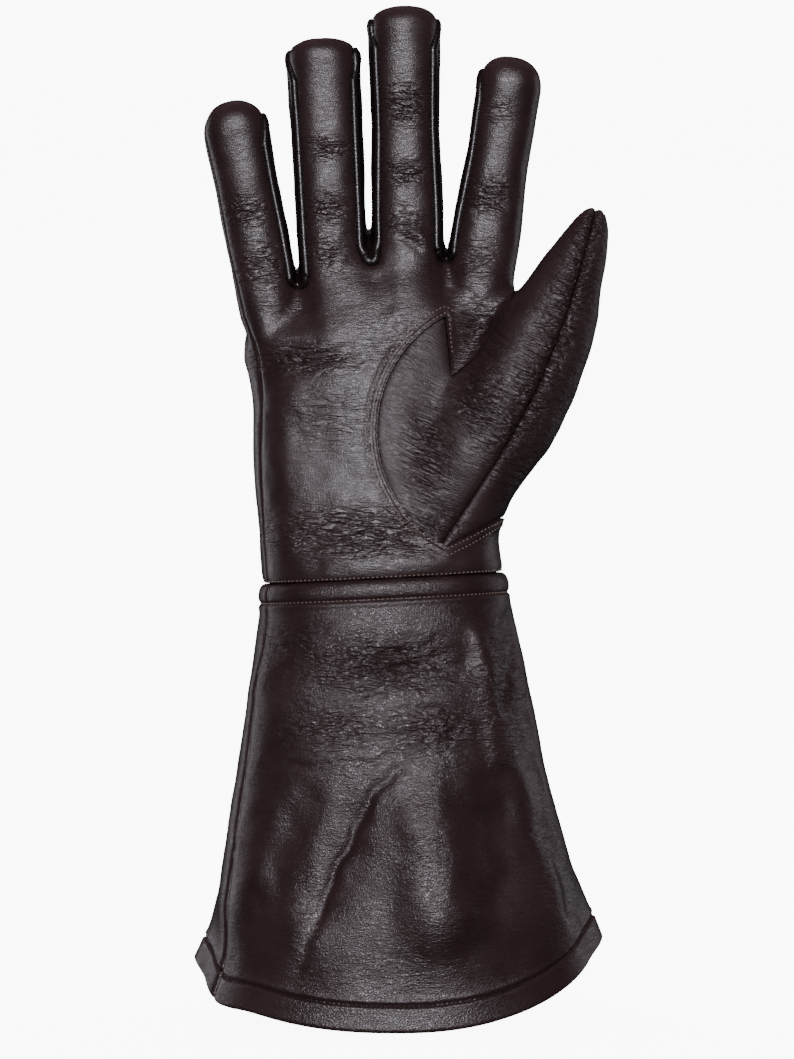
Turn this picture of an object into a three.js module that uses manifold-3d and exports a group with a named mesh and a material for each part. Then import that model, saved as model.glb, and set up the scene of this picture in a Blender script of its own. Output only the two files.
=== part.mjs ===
// A right-hand leather gauntlet glove in its worn form, fingers up and palm towards -Y.
// Millimetres. The origin is the middle of the wrist seam, +X points to the thumb's side.
import * as THREE from "three";
import { mergeVertices } from "three/addons/utils/BufferGeometryUtils.js";
import Module from "manifold-3d";

const wasm = await Module();
wasm.setup();

// Leather
const HAND_LEATHER = 1.4;
const CUFF_LEATHER = 1.6;
const SEAM_GAP = 0.3; // between two pieces sewn edge to edge

// Fingers: the middle finger's sizes, which the table below shares out
const FINGER_WIDTH = 26.1;
const FINGER_DEPTH = 23.4;
const FINGER_LENGTH = 90; // from the height of the crotches to the tip
const FINGER_CURL = 6; // how far a tip comes forward
const FINGER_SET = -2; // y of the finger roots
const FOURCHETTE_WIDTH = 17.6; // the strip between a finger's front and back
const FOURCHETTE_TAPER = 12; // length over which that strip narrows to nothing
const FOURCHETTE_END = 3.6; // from the strip's end up to the fingertip

// Hand
const PALM_LENGTH = 112; // wrist seam to the height of the crotches
const WRIST_DEPTH = 56;
const WRIST_TILT = 0.05; // rise of the wrist seam towards the thumb, per mm across
const CROTCH_GAP = 0.35; // between neighbouring fingers at that height
const PALM_SIDE_SET = 9; // how far the little finger's side seam lies forward on the palm
const FINGER_SIDE_SET = 5; // and on the finger itself

// Thumb
const THUMB_LENGTH = 129;
const THUMB_WIDTH = 39;
const THUMB_DEPTH = 32;
const THUMB_LEAN = 24.5; // degrees from upright
const THUMB_SEAM_BOW = 7.5; // how far the seam bows out from the thumb's axis
const CRESCENT_RADIUS = 46; // the seam round the ball of the thumb

// Cuff
const CUFF_SIDE_LENGTH = 133;
const CUFF_FRONT_LENGTH = 154;
const CUFF_BACK_LENGTH = 146;
const HEM_WIDTH = 146;
const HEM_DEPTH = 99;
const HEM_SHIFT = 5.5; // the hem's centre lies towards the thumb
const HEM_SLANT = 3.6; // the hem is this much higher on the thumb's side
const HEM_CORNER = 4; // and hangs this much lower at the little finger's seam
const TOP_BAND = 8.2; // doubled leather under the wrist seam
const HEM_BAND = 9; // turned leather at the hem
const BAND_RISE = 0.7;

// Facets
const FINGER_SIDES = 14;
const THUMB_SIDES = 18;
const HAND_SIDES = 28;
const CUFF_SIDES = 38;
const FAR = 400; // reach of the solids that only cut
const END = 12; // a hollow's run past an open end
const SHORT_EDGE = 0.06; // facets are cleaned of edges below this
const THIN_FACET = 0.03; // and of heights below this
const CLEANING_PASSES = 3;
const SHARPEST_MITER = 0.3; // share of a straight edge's, where an outline turns sharply
const ARC_STEPS = 16;
const SEAM_STEPS = 10;

// Each finger: width, depth and length as shares of the middle finger's, lean in degrees,
// width at root, waist and bulb as shares of its own width, length and power of its round tip.
const FINGERS = [
  { name: "little", width: 0.91, depth: 0.95, length: 0.641, lean: -10.9,
    root: 0.97, waist: 0.955, bulb: 1, cap: 0.55, power: 2.2 },
  { name: "ring", width: 1.015, depth: 1, length: 0.876, lean: -2.9,
    root: 0.95, waist: 0.965, bulb: 1, cap: 0.35, power: 2.6 },
  { name: "middle", width: 1, depth: 1, length: 1, lean: -1.1,
    root: 1, waist: 0.93, bulb: 0.99, cap: 0.36, power: 2.6 },
  { name: "index", width: 0.973, depth: 0.98, length: 0.814, lean: 8.8,
    root: 1, waist: 0.89, bulb: 0.915, cap: 0.48, power: 2.3 },
];
const FINGER_ROW_SHIFT = -0.035; // of the hand's width
const FINGER_POWER = 2.4;
// Below the crotches a finger's section shrinks: depth as a share of the palm's length.
const FINGER_ROOTS = [
  { below: 0.42, size: 0.6 },
  { below: 0.16, size: 0.97 },
];
// Where a finger has its root's and its waist's width, as shares of its shaft.
const FINGER_SHAFT = { root: 0.2, waist: 0.6 };
// Sections of the round tip, as shares of its length.
const CAP_SHARES = [0, 0.5, 0.8, 0.985];
// Heights of the seam sheet's rows as shares of the palm's length, and of a strip's taper.
const SHEET_HEIGHTS = [0.5, 0.9, 1.16];
const TAPER_SHARES = [1, 0.4, 0];
// The sheet's corners: across a finger as shares of its half-width.
const SHEET_CORNERS = { strip: 0.98, side: 0.6 };

// Sections of the hand from the wrist to the top: height as a share of the arch, half-width
// and shift as shares of the hand's width, front and back as shares of the wrist's depth.
const HAND_ROWS = [
  { up: 0, half: 0.42, shift: 0, front: 0.5, back: 0.5 },
  { up: 0.13, half: 0.414, shift: -0.012, front: 0.46, back: 0.45 },
  { up: 0.27, half: 0.418, shift: -0.019, front: 0.42, back: 0.41 },
  { up: 0.44, half: 0.426, shift: -0.024, front: 0.395, back: 0.375 },
  { up: 0.58, half: 0.432, shift: -0.018, front: 0.375, back: 0.35 },
  { up: 0.7, half: 0.439, shift: -0.015, front: 0.33, back: 0.313 },
  { up: 0.82, half: 0.452, shift: -0.016, front: 0.27, back: 0.268 },
  { up: 0.9, half: 0.462, shift: -0.018, front: 0.205, back: 0.205 },
  { up: 0.96, half: 0.45, shift: -0.02, front: 0.145, back: 0.145 },
  { up: 1, half: 0.41, shift: -0.02, front: 0.035, back: 0.035 },
];
const HAND_POWER = 2.5;
// The arch of the crotches: its top, slope and fall to both sides.
const ARCH = { top: 1.088, centre: -0.054, slope: 0.185, fall: 1.43 };

// Sections of the thumb: place along it, sides as shares of its width, middle and half-depth
// as shares of its depth.
const THUMB_ROWS = [
  { along: -0.06, left: -0.4, right: 0.1, middle: -0.2, half: 0.3 },
  { along: 0.11, left: -0.5, right: 0.36, middle: -0.28, half: 0.46 },
  { along: 0.24, left: -0.56, right: 0.44, middle: -0.33, half: 0.52 },
  { along: 0.36, left: -0.54, right: 0.53, middle: -0.36, half: 0.5 },
  { along: 0.48, left: -0.45, right: 0.536, middle: -0.39, half: 0.47 },
  { along: 0.6, left: -0.39, right: 0.512, middle: -0.4, half: 0.45 },
  { along: 0.72, left: -0.31, right: 0.44, middle: -0.42, half: 0.42 },
  { along: 0.81, left: -0.246, right: 0.344, middle: -0.45, half: 0.375 },
  { along: 0.873, left: -0.195, right: 0.287, middle: -0.465, half: 0.33 },
  { along: 0.93, left: -0.145, right: 0.223, middle: -0.48, half: 0.26 },
  { along: 0.975, left: -0.1, right: 0.145, middle: -0.49, half: 0.16 },
];
const THUMB_POWER = 2.2;
const THUMB_END_SIZE = 0.25; // of its last section
const THUMB_BASE = { across: 0.21, up: 0.118 }; // of the hand's width and the palm's length
// The seams that part the thumb's leather from the palm: shares of width and palm length.
const CRESCENT = { across: 0.43, up: 0.46, start: 119, end: 241 };
const NOTCH = [
  { across: 0.403, up: 0.188 },
  { across: 0.434, up: 0.867 },
  { across: 0.305, up: 0.686 },
  { across: 0.234, up: 0.629 },
];
const THUMB_EDGE = { low: 0.405, high: 0.44 };

// Sections of the cuff: place down it, and how much of the flare and shift it has by then.
const CUFF_ROWS = [
  { down: 0.17, flare: 0.13, shift: 0.23 },
  { down: 0.28, flare: 0.215, shift: 0.33 },
  { down: 0.38, flare: 0.295, shift: 0.42 },
  { down: 0.49, flare: 0.375, shift: 0.46 },
  { down: 0.6, flare: 0.465, shift: 0.5 },
  { down: 0.7, flare: 0.565, shift: 0.65 },
  { down: 0.78, flare: 0.65, shift: 0.78 },
  { down: 0.86, flare: 0.76, shift: 0.95 },
];
// The same at the edges of the doubled band and of the turned hem.
const BAND_EDGES = {
  top: { flare: 0.045, shift: 0.08 },
  underTop: { flare: 0.05, shift: 0.09 },
  overHem: { flare: 0.865, shift: 1.05 },
  hem: { flare: 0.875, shift: 1.05 },
};
const CUFF_POWER = 2.25;
const HEM_POWER = 1.15; // how the hem curves from its sides to its front and back
// Where the cuff's side seams lie, as shares of its half-depth at each height.
const CUFF_SEAMS = { little: -0.43, thumb: 0.1 };
const HEM_CORNER_SPREAD = 0.2;

// Folds of the cuff's front: both ends as across and down shares, breadth and rise as shares
// of the cuff's front length. A fold with a negative rise is a hollow.
const FOLDS = [
  { a0: 0.12, d0: 0.5, a1: 0.26, d1: 0.7, breadth: 0.11, rise: 0.026 },
  { a0: 0.0, d0: 0.26, a1: 0.7, d1: 0.19, breadth: 0.05, rise: -0.018 },
  { a0: -0.46, d0: 0.93, a1: -0.22, d1: 0.68, breadth: 0.055, rise: -0.02 },
  { a0: -0.22, d0: 0.68, a1: 0.24, d1: 0.46, breadth: 0.05, rise: -0.018 },
  { a0: 0.7, d0: 0.2, a1: 0.72, d1: 0.72, breadth: 0.05, rise: 0.014 },
  { a0: 0.5, d0: 0.45, a1: 0.32, d1: 0.92, breadth: 0.05, rise: -0.016 },
  { a0: -0.62, d0: 0.3, a1: -0.58, d1: 0.85, breadth: 0.09, rise: 0.01 },
];

const radians = THREE.MathUtils.degToRad;

// Finger places: they stand side by side at the height of the crotches.
const fingerWidths = FINGERS.map((finger) => finger.width * FINGER_WIDTH);
const handWidth = fingerWidths.reduce((sum, width) => sum + width + CROTCH_GAP, -CROTCH_GAP);
let edge = FINGER_ROW_SHIFT * handWidth - handWidth / 2;
const fingers = FINGERS.map((finger, i) => {
  const x = edge + fingerWidths[i] / 2;
  edge += fingerWidths[i] + CROTCH_GAP;
  return {
    ...finger,
    x,
    span: fingerWidths[i],
    thick: finger.depth * FINGER_DEPTH,
    reach: finger.length * FINGER_LENGTH,
    tilt: radians(finger.lean),
  };
});

// Closed solid through rings of [x, y, z] that turn anticlockwise seen from the last ring.
// Each four-cornered facet is split along one diagonal, or where crossed along the other.
function loft(rings, crossed = false) {
  const count = rings[0].length;
  const points = rings.flat();
  const faces = [];
  for (let r = 0; r + 1 < rings.length; r++) {
    for (let i = 0; i < count; i++) {
      const j = (i + 1) % count;
      const low = r * count;
      const high = low + count;
      if (crossed) faces.push(low + i, low + j, high + i, low + j, high + j, high + i);
      else faces.push(low + i, low + j, high + j, low + i, high + j, high + i);
    }
  }
  const last = (rings.length - 1) * count;
  const bottom = points.push(middleOf(rings[0])) - 1;
  const top = points.push(middleOf(rings[rings.length - 1])) - 1;
  for (let i = 0; i < count; i++) {
    const j = (i + 1) % count;
    faces.push(bottom, j, i, top, last + i, last + j);
  }
  return solid(new Float32Array(points.flat()), new Uint32Array(faces));
}

function middleOf(ring) {
  return [0, 1, 2].map((axis) => ring.reduce((sum, p) => sum + p[axis], 0) / ring.length);
}

function solid(vertProperties, triVerts) {
  return new wasm.Manifold(new wasm.Mesh({ numProp: 3, vertProperties, triVerts }));
}

// Turn of a section's corner: no corner lies on the middle plane, where the side seams run.
function cornerTurn(i, sides) {
  return (2 * Math.PI * (i + 0.5)) / sides;
}

// Points [x, y] of a superellipse whose front (-y) and back half-depths differ.
function section(sides, half, front, back, power) {
  return Array.from({ length: sides }, (_, i) => {
    const turn = cornerTurn(i, sides);
    const c = Math.cos(turn);
    const s = Math.sin(turn);
    const depth = s < 0 ? front : back;
    return [
      half * Math.sign(c) * Math.abs(c) ** (2 / power),
      depth * Math.sign(s) * Math.abs(s) ** (2 / power),
    ];
  });
}

// Prism from y = front to y = back over an outline of [x, z] points.
function prism(outline, front, back) {
  const shape = new THREE.Shape(outline.map(([x, z]) => new THREE.Vector2(x, z)));
  const geometry = new THREE.ExtrudeGeometry(shape, { depth: back - front, bevelEnabled: false });
  geometry.rotateX(Math.PI / 2);
  geometry.translate(0, back, 0);
  geometry.deleteAttribute("normal");
  geometry.deleteAttribute("uv");
  const merged = mergeVertices(geometry);
  return solid(merged.attributes.position.array, new Uint32Array(merged.index.array));
}

// An anticlockwise outline moved outwards by a distance, corner by corner.
function widened(outline, distance) {
  return outline.map(([x, z], i) => {
    const [px, pz] = outline[(i + outline.length - 1) % outline.length];
    const [nx, nz] = outline[(i + 1) % outline.length];
    const before = new THREE.Vector2(z - pz, px - x).normalize();
    const after = new THREE.Vector2(nz - z, x - nx).normalize();
    const miter = before.clone().add(after);
    miter.multiplyScalar(distance / Math.max(miter.lengthSq() / 2, SHARPEST_MITER));
    return [x + miter.x, z + miter.y];
  });
}

// The largest body of a solid.
function largest(whole) {
  return bodiesBySize(whole)[0];
}

function bodiesBySize(whole) {
  return whole.decompose().sort((a, b) => b.volume() - a.volume());
}

// A body without the hair-thin facets that cuts leave: short edges are closed up, and the
// long edge of a thin facet is turned to the far corner of its neighbour.
function cleaned(body) {
  const { vertProperties, triVerts } = body.getMesh();
  const corner = (i) => new THREE.Vector3().fromArray(vertProperties, 3 * i);
  const length = (a, b) => corner(a).distanceTo(corner(b));
  const facets = new Set();
  const around = Array.from({ length: vertProperties.length / 3 }, () => new Set());
  const add = (facet) => {
    facets.add(facet);
    facet.forEach((v) => around[v].add(facet));
  };
  const remove = (facet) => {
    facets.delete(facet);
    facet.forEach((v) => around[v].delete(facet));
  };
  const beside = (v) => new Set([...around[v]].flat().filter((w) => w !== v));
  for (let i = 0; i < triVerts.length; i += 3) add([...triVerts.subarray(i, i + 3)]);

  const closeUp = (keep, drop) => {
    const shared = [...beside(keep)].filter((v) => beside(drop).has(v));
    if (shared.length !== 2) return;
    for (const facet of [...around[drop]]) {
      remove(facet);
      if (!facet.includes(keep)) add(facet.map((v) => (v === drop ? keep : v)));
    }
  };
  const turnEdge = ([p, q, r]) => {
    const height = (a, b, c) => {
      const sides = [corner(b).sub(corner(a)), corner(c).sub(corner(a))];
      return sides[0].cross(sides[1]).length() / Math.max(length(a, b), length(b, c), length(c, a));
    };
    if (height(p, q, r) > THIN_FACET) return;
    const other = [...around[p]].find((facet) => facet.includes(q) && !facet.includes(r));
    const s = other.find((v) => v !== p && v !== q);
    if (beside(r).has(s)) return;
    if (Math.min(height(r, p, s), height(s, q, r)) < height(p, q, r)) return;
    remove(other);
    const thin = [...around[p]].find((facet) => facet.includes(q) && facet.includes(r));
    remove(thin);
    add([r, p, s]);
    add([s, q, r]);
  };
  for (let pass = 0; pass < CLEANING_PASSES; pass++) {
    for (const facet of [...facets]) {
      const edges = facet.map((v, i) => [v, facet[(i + 1) % 3], facet[(i + 2) % 3]]);
      edges.sort((a, b) => length(a[0], a[1]) - length(b[0], b[1]));
      if (facets.has(facet) && length(edges[0][0], edges[0][1]) < SHORT_EDGE) {
        closeUp(edges[0][0], edges[0][1]);
      }
      if (facets.has(facet)) turnEdge(edges[2]);
    }
  }
  const used = [...new Set([...facets].flat())];
  const renumbered = new Map(used.map((v, i) => [v, i]));
  return solid(
    new Float32Array(used.flatMap((v) => corner(v).toArray())),
    new Uint32Array([...facets].flat().map((v) => renumbered.get(v))),
  );
}

// Height of the crotches over x.
function archHeight(x) {
  const away = x / handWidth - ARCH.centre;
  return PALM_LENGTH * ARCH.top + handWidth * (ARCH.slope * away - ARCH.fall * away * away);
}

// The hand without fingers; an inset of 0 gives its outside, the leather's wall its hollow.
function handBody(inset) {
  const rings = HAND_ROWS.map((row) => {
    const outline = section(
      HAND_SIDES,
      row.half * handWidth - inset,
      Math.max(row.front * WRIST_DEPTH - inset, SEAM_GAP),
      Math.max(row.back * WRIST_DEPTH - inset, SEAM_GAP),
      HAND_POWER,
    );
    return outline.map(([dx, y]) => {
      const x = dx + row.shift * handWidth;
      const seam = WRIST_TILT * x + SEAM_GAP / 2;
      return [x, y, seam + row.up * (archHeight(x) - inset - seam)];
    });
  });
  if (inset > 0) rings.unshift(rings[0].map(([x, y, z]) => [x, y, z - END]));
  return loft(rings);
}

// The middle line of a finger at a distance along it from the height of the crotches.
function fingerLine(finger, along) {
  const bend = Math.max(along / finger.reach, 0) ** 2;
  return [
    finger.x + along * Math.sin(finger.tilt),
    FINGER_SET - FINGER_CURL * bend,
    PALM_LENGTH + along * Math.cos(finger.tilt),
  ];
}

function fingerTube(finger, inset) {
  const tip = finger.reach - inset;
  const cap = finger.cap * finger.span;
  const shaft = finger.reach - cap;
  const stations = [
    ...FINGER_ROOTS.map(({ below, size }) => ({
      along: -below * PALM_LENGTH,
      width: finger.root,
      size,
    })),
    { along: shaft * FINGER_SHAFT.root, width: finger.root, size: 1 },
    { along: shaft * FINGER_SHAFT.waist, width: finger.waist, size: 1 },
    ...CAP_SHARES.map((u) => ({
      along: shaft + (tip - shaft) * u,
      width: finger.bulb,
      size: (1 - u ** finger.power) ** (1 / finger.power),
    })),
  ];
  const rings = stations.map(({ along, width, size }) => {
    const [x, y, z] = fingerLine(finger, along);
    const outline = section(
      FINGER_SIDES,
      ((finger.span * width) / 2 - inset) * size,
      (finger.thick / 2 - inset) * size,
      (finger.thick / 2 - inset) * size,
      FINGER_POWER,
    );
    return outline.map(([dx, dy]) => [
      x + dx * Math.cos(finger.tilt),
      y + dy,
      z - dx * Math.sin(finger.tilt),
    ]);
  });
  return loft(rings);
}

// A point of the thumb's own frame, along its axis and across it, in [x, z].
function onThumb(along, across) {
  const lean = radians(THUMB_LEAN);
  return [
    THUMB_BASE.across * handWidth + along * Math.sin(lean) + across * Math.cos(lean),
    THUMB_BASE.up * PALM_LENGTH + along * Math.cos(lean) - across * Math.sin(lean),
  ];
}

function thumbTube(inset) {
  const rings = THUMB_ROWS.map((row) => {
    const left = row.left * THUMB_WIDTH;
    const right = row.right * THUMB_WIDTH;
    const depth = row.half * THUMB_DEPTH - inset;
    const outline = section(THUMB_SIDES, (right - left) / 2 - inset, depth, depth, THUMB_POWER);
    return outline.map(([dx, dy]) => {
      const [x, z] = onThumb(row.along * (THUMB_LENGTH - inset), (left + right) / 2 + dx);
      return [x, row.middle * THUMB_DEPTH + dy, z];
    });
  });
  const [x, z] = onThumb(THUMB_LENGTH - inset, 0);
  const end = THUMB_ROWS[THUMB_ROWS.length - 1].middle * THUMB_DEPTH;
  rings.push(rings[rings.length - 1].map((p) => [0, 1, 2].map((axis) =>
    THREE.MathUtils.lerp([x, end, z][axis], p[axis], THUMB_END_SIZE))));
  return loft(rings);
}

// The part of space that holds the thumb's leather.
function thumbRegion(grow) {
  const arc = [];
  for (let i = 0; i <= ARC_STEPS; i++) {
    const turn = THREE.MathUtils.lerp(CRESCENT.start, CRESCENT.end, i / ARC_STEPS);
    arc.push([
      CRESCENT.across * handWidth + CRESCENT_RADIUS * Math.cos(radians(turn)),
      CRESCENT.up * PALM_LENGTH + CRESCENT_RADIUS * Math.sin(radians(turn)),
    ]);
  }
  const [corner, web, fold, notch] = NOTCH.map(({ across, up }) => [
    across * handWidth,
    up * PALM_LENGTH,
  ]);
  const beyond = [web[0] + FAR * Math.sin(radians(THUMB_LEAN)), web[1] + FAR];
  const front = [...arc, corner, [FAR, corner[1]], [FAR, beyond[1]], beyond, web, fold, notch];
  const side = [
    [THUMB_EDGE.low * handWidth, corner[1]],
    [FAR, corner[1]],
    [FAR, beyond[1]],
    beyond,
    [THUMB_EDGE.high * handWidth, web[1]],
  ];
  return prism(widened(front, grow), -FAR, grow)
    .add(prism(widened(side, grow), -FAR, FAR));
}

// The side of the thumb's long seam that faces the palm.
function innerThumbRegion(grow) {
  const seam = [onThumb(-END, 0)];
  for (let i = 0; i <= SEAM_STEPS; i++) {
    const along = i / SEAM_STEPS;
    seam.push(onThumb(along * THUMB_LENGTH, THUMB_SEAM_BOW * Math.sin(Math.PI * along)));
  }
  seam.push(onThumb(THUMB_LENGTH + END, 0));
  const top = seam[seam.length - 1][1];
  const outline = [...seam, [-FAR, top], [-FAR, seam[0][1]]];
  return prism(widened(outline, grow), -FAR, FAR);
}

// Solid on one side (-1 front, 1 back) of a sheet given as rows of [x, y, z] from left to right.
function sideOf(rows, side) {
  const rings = rows.map((row) => {
    const z = row[0][2];
    const across = [[-FAR, row[0][1], z], ...row, [FAR, row[row.length - 1][1], z]];
    return side > 0
      ? [...across, [FAR, FAR, z], [-FAR, FAR, z]]
      : [[-FAR, -FAR, z], [FAR, -FAR, z], ...across.reverse()];
  });
  return loft(rings, side < 0);
}

// The sheet where the fronts (side -1) or backs (side 1) of hand and fingers end.
function handSheet(side, grow) {
  const heights = new Set([-END, ...SHEET_HEIGHTS.map((share) => share * PALM_LENGTH)]);
  const endOf = (finger) =>
    PALM_LENGTH + finger.reach * Math.cos(finger.tilt) - FOURCHETTE_END;
  for (const finger of fingers) {
    for (const share of TAPER_SHARES) heights.add(endOf(finger) - share * FOURCHETTE_TAPER);
  }
  heights.add(Math.max(...heights) + END);
  const rows = [...heights].sort((a, b) => a - b).map((z) => {
    const row = [];
    fingers.forEach((finger, i) => {
      const along = Math.min((z - PALM_LENGTH) / Math.cos(finger.tilt), finger.reach);
      const [, middle] = fingerLine(finger, along);
      const x = finger.x + (z - PALM_LENGTH) * Math.tan(finger.tilt);
      const left = THREE.MathUtils.clamp((endOf(finger) - z) / FOURCHETTE_TAPER, 0, 1);
      const open = (FOURCHETTE_WIDTH / 2) * Math.sqrt(left);
      const palm = THREE.MathUtils.clamp(1 - z / PALM_LENGTH, 0, 1);
      const sideSet = Math.sqrt(left) *
        THREE.MathUtils.lerp(FINGER_SIDE_SET, PALM_SIDE_SET, Math.min(2 * palm, 1));
      const ends = [
        i === 0 ? { y: middle - sideSet, open: 0 } : { y: middle, open },
        i === fingers.length - 1 ? { y: middle, open: 0 } : { y: middle, open },
      ];
      ends.forEach((end, k) => {
        const corner = end.open > 0 ? SHEET_CORNERS.strip : SHEET_CORNERS.side;
        const half = (finger.span / 2) * corner;
        const y = end.y + side * (Math.max(end.open, SEAM_GAP / 2) - grow);
        row.push([x + (k ? half : -half), y, z]);
      });
    });
    // Lower down the leaning fingers would cross, so neighbours meet halfway.
    for (let k = 1; k < row.length - 1; k += 2) {
      const meet = (row[k][0] + row[k + 1][0]) / 2;
      row[k][0] = Math.min(row[k][0], meet - SEAM_GAP / 2);
      row[k + 1][0] = Math.max(row[k + 1][0], meet + SEAM_GAP / 2);
    }
    return row;
  });
  return sideOf(rows, side);
}

// Shells of leather, cut into the pieces that are sewn together.
function handPieces() {
  const join = (inset) => fingers.reduce(
    (whole, finger) => whole.add(fingerTube(finger, inset)),
    handBody(inset).add(thumbTube(inset)),
  );
  const shell = join(0).subtract(join(HAND_LEATHER));
  const thumb = shell.intersect(thumbRegion(0));
  const hand = shell.subtract(thumbRegion(SEAM_GAP));
  const strips = hand.subtract(handSheet(-1, SEAM_GAP)).subtract(handSheet(1, SEAM_GAP));
  const fourchettes = bodiesBySize(strips)
    .slice(0, fingers.length - 1)
    .sort((a, b) => a.boundingBox().min[0] - b.boundingBox().min[0]);
  const pieces = {
    palm: largest(hand.intersect(handSheet(-1, 0))),
    back: largest(hand.intersect(handSheet(1, 0))),
    thumb_inner_panel: largest(thumb.intersect(innerThumbRegion(-SEAM_GAP / 2))),
    thumb_outer_panel: largest(thumb.subtract(innerThumbRegion(SEAM_GAP / 2))),
  };
  fourchettes.forEach((strip, i) => {
    pieces["fourchette_" + fingers[i].name + "_" + fingers[i + 1].name] = strip;
  });
  return pieces;
}

// Length of the cuff in a direction given by the cosine and sine of its turn.
function cuffLength(c, s) {
  const face = Math.abs(s) ** HEM_POWER;
  const length = THREE.MathUtils.lerp(CUFF_BACK_LENGTH, CUFF_FRONT_LENGTH, (1 - s) / 2);
  const away = (s - CUFF_SEAMS.little) / HEM_CORNER_SPREAD;
  const corner = c < 0 ? HEM_CORNER * Math.exp(-away * away) : 0;
  const slant = HEM_SLANT * c * Math.abs(c);
  return CUFF_SIDE_LENGTH * (1 - face) + length * face - slant + corner;
}

// Height of the folds at a place on the cuff's front, across and down in shares.
function foldRise(across, down, half) {
  const length = CUFF_FRONT_LENGTH;
  let rise = 0;
  for (const fold of FOLDS) {
    const start = new THREE.Vector2(fold.a0 * half, fold.d0 * length);
    const run = new THREE.Vector2(fold.a1 * half, fold.d1 * length).sub(start);
    const offset = new THREE.Vector2(across * half, down * length).sub(start);
    const share = THREE.MathUtils.clamp(offset.dot(run) / run.lengthSq(), 0, 1);
    const distance = offset.sub(run.multiplyScalar(share)).length();
    rise += fold.rise * length * Math.exp(-((distance / (fold.breadth * length)) ** 2));
  }
  return rise;
}

// Flared tube of the cuff; the bands at both ends stand out by their rise.
function cuffTube(inset) {
  const wrist = HAND_ROWS[0];
  const topBand = TOP_BAND / CUFF_SIDE_LENGTH;
  const hemBand = HEM_BAND / CUFF_SIDE_LENGTH;
  const step = BAND_RISE / CUFF_SIDE_LENGTH;
  const rows = [
    { down: 0, flare: 0, shift: 0, band: 1 },
    { down: topBand, ...BAND_EDGES.top, band: 1 },
    { down: topBand + step, ...BAND_EDGES.underTop, band: 0 },
    ...CUFF_ROWS.map((row) => ({ ...row, band: 0 })),
    { down: 1 - hemBand - step, ...BAND_EDGES.overHem, band: 0 },
    { down: 1 - hemBand, ...BAND_EDGES.hem, band: 1 },
    { down: 1, flare: 1, shift: 1, band: 1 },
  ];
  const rings = rows.map(({ down, flare, shift, band }) => {
    const rise = inset > 0 ? -inset : band * BAND_RISE;
    const half = THREE.MathUtils.lerp(wrist.half * handWidth, HEM_WIDTH / 2, flare);
    const deep = THREE.MathUtils.lerp(wrist.front * WRIST_DEPTH, HEM_DEPTH / 2, flare);
    const outline = section(CUFF_SIDES, half, deep, deep, CUFF_POWER);
    return outline.map(([dx, dy], i) => {
      const turn = cornerTurn(i, CUFF_SIDES);
      const c = Math.cos(turn);
      const s = Math.sin(turn);
      const facing = Math.max(-s, 0);
      const fade = Math.sqrt(Math.max(Math.sin(Math.PI * down), 0));
      const out = rise + fade * facing * foldRise(dx / half, down, half);
      const x = dx + out * c + shift * HEM_SHIFT;
      const seam = WRIST_TILT * x - SEAM_GAP / 2;
      return [x, dy + out * s, seam - down * (cuffLength(c, s) + seam)];
    });
  });
  if (inset > 0) {
    rings.unshift(rings[0].map(([x, y, z]) => [x, y, z + END]));
    rings.push(rings[rings.length - 1].map(([x, y, z]) => [x, y, z - END]));
  }
  return loft(rings.reverse());
}

function cuffPieces() {
  const shell = cuffTube(0).subtract(cuffTube(CUFF_LEATHER));
  const sheet = (side) => {
    const low = -CUFF_FRONT_LENGTH - 2 * END;
    const rows = [low, -CUFF_SIDE_LENGTH / 2, END].map((z) => {
      const share = THREE.MathUtils.clamp(-z / CUFF_SIDE_LENGTH, 0, 1);
      const deep = THREE.MathUtils.lerp(WRIST_DEPTH, HEM_DEPTH, share) / 2;
      const half = THREE.MathUtils.lerp(handWidth, HEM_WIDTH, share) / 2;
      return [
        [-half, CUFF_SEAMS.little * deep + (side * SEAM_GAP) / 2, z],
        [half, CUFF_SEAMS.thumb * deep + (side * SEAM_GAP) / 2, z],
      ];
    });
    return sideOf(rows, side);
  };
  return {
    cuff_front: largest(shell.intersect(sheet(-1))),
    cuff_back: largest(shell.intersect(sheet(1))),
  };
}

const LOOKS = {
  palm: 0x3c302f,
  back: 0x382c2b,
  thumb_inner_panel: 0x3c302f,
  thumb_outer_panel: 0x3c302f,
  cuff_front: 0x41363a,
  cuff_back: 0x382c2b,
};
const FOURCHETTE_LOOK = 0x2a2324;

function meshOf(name, body) {
  const { vertProperties, triVerts } = body.getMesh();
  const geometry = new THREE.BufferGeometry();
  geometry.setAttribute("position", new THREE.BufferAttribute(vertProperties, 3));
  geometry.setIndex(new THREE.BufferAttribute(triVerts, 1));
  geometry.computeVertexNormals();
  const color = LOOKS[name] ?? FOURCHETTE_LOOK;
  const material = new THREE.MeshStandardMaterial({ color, roughness: 0.5, metalness: 0 });
  const mesh = new THREE.Mesh(geometry, material);
  mesh.name = name;
  return mesh;
}

const glove = new THREE.Group();
for (const [name, body] of Object.entries({ ...handPieces(), ...cuffPieces() })) {
  glove.add(meshOf(name, cleaned(body)));
}

export default glove;
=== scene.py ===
"""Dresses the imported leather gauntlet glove: sewn leather, stitches, floor, light and camera."""

import math

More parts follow.
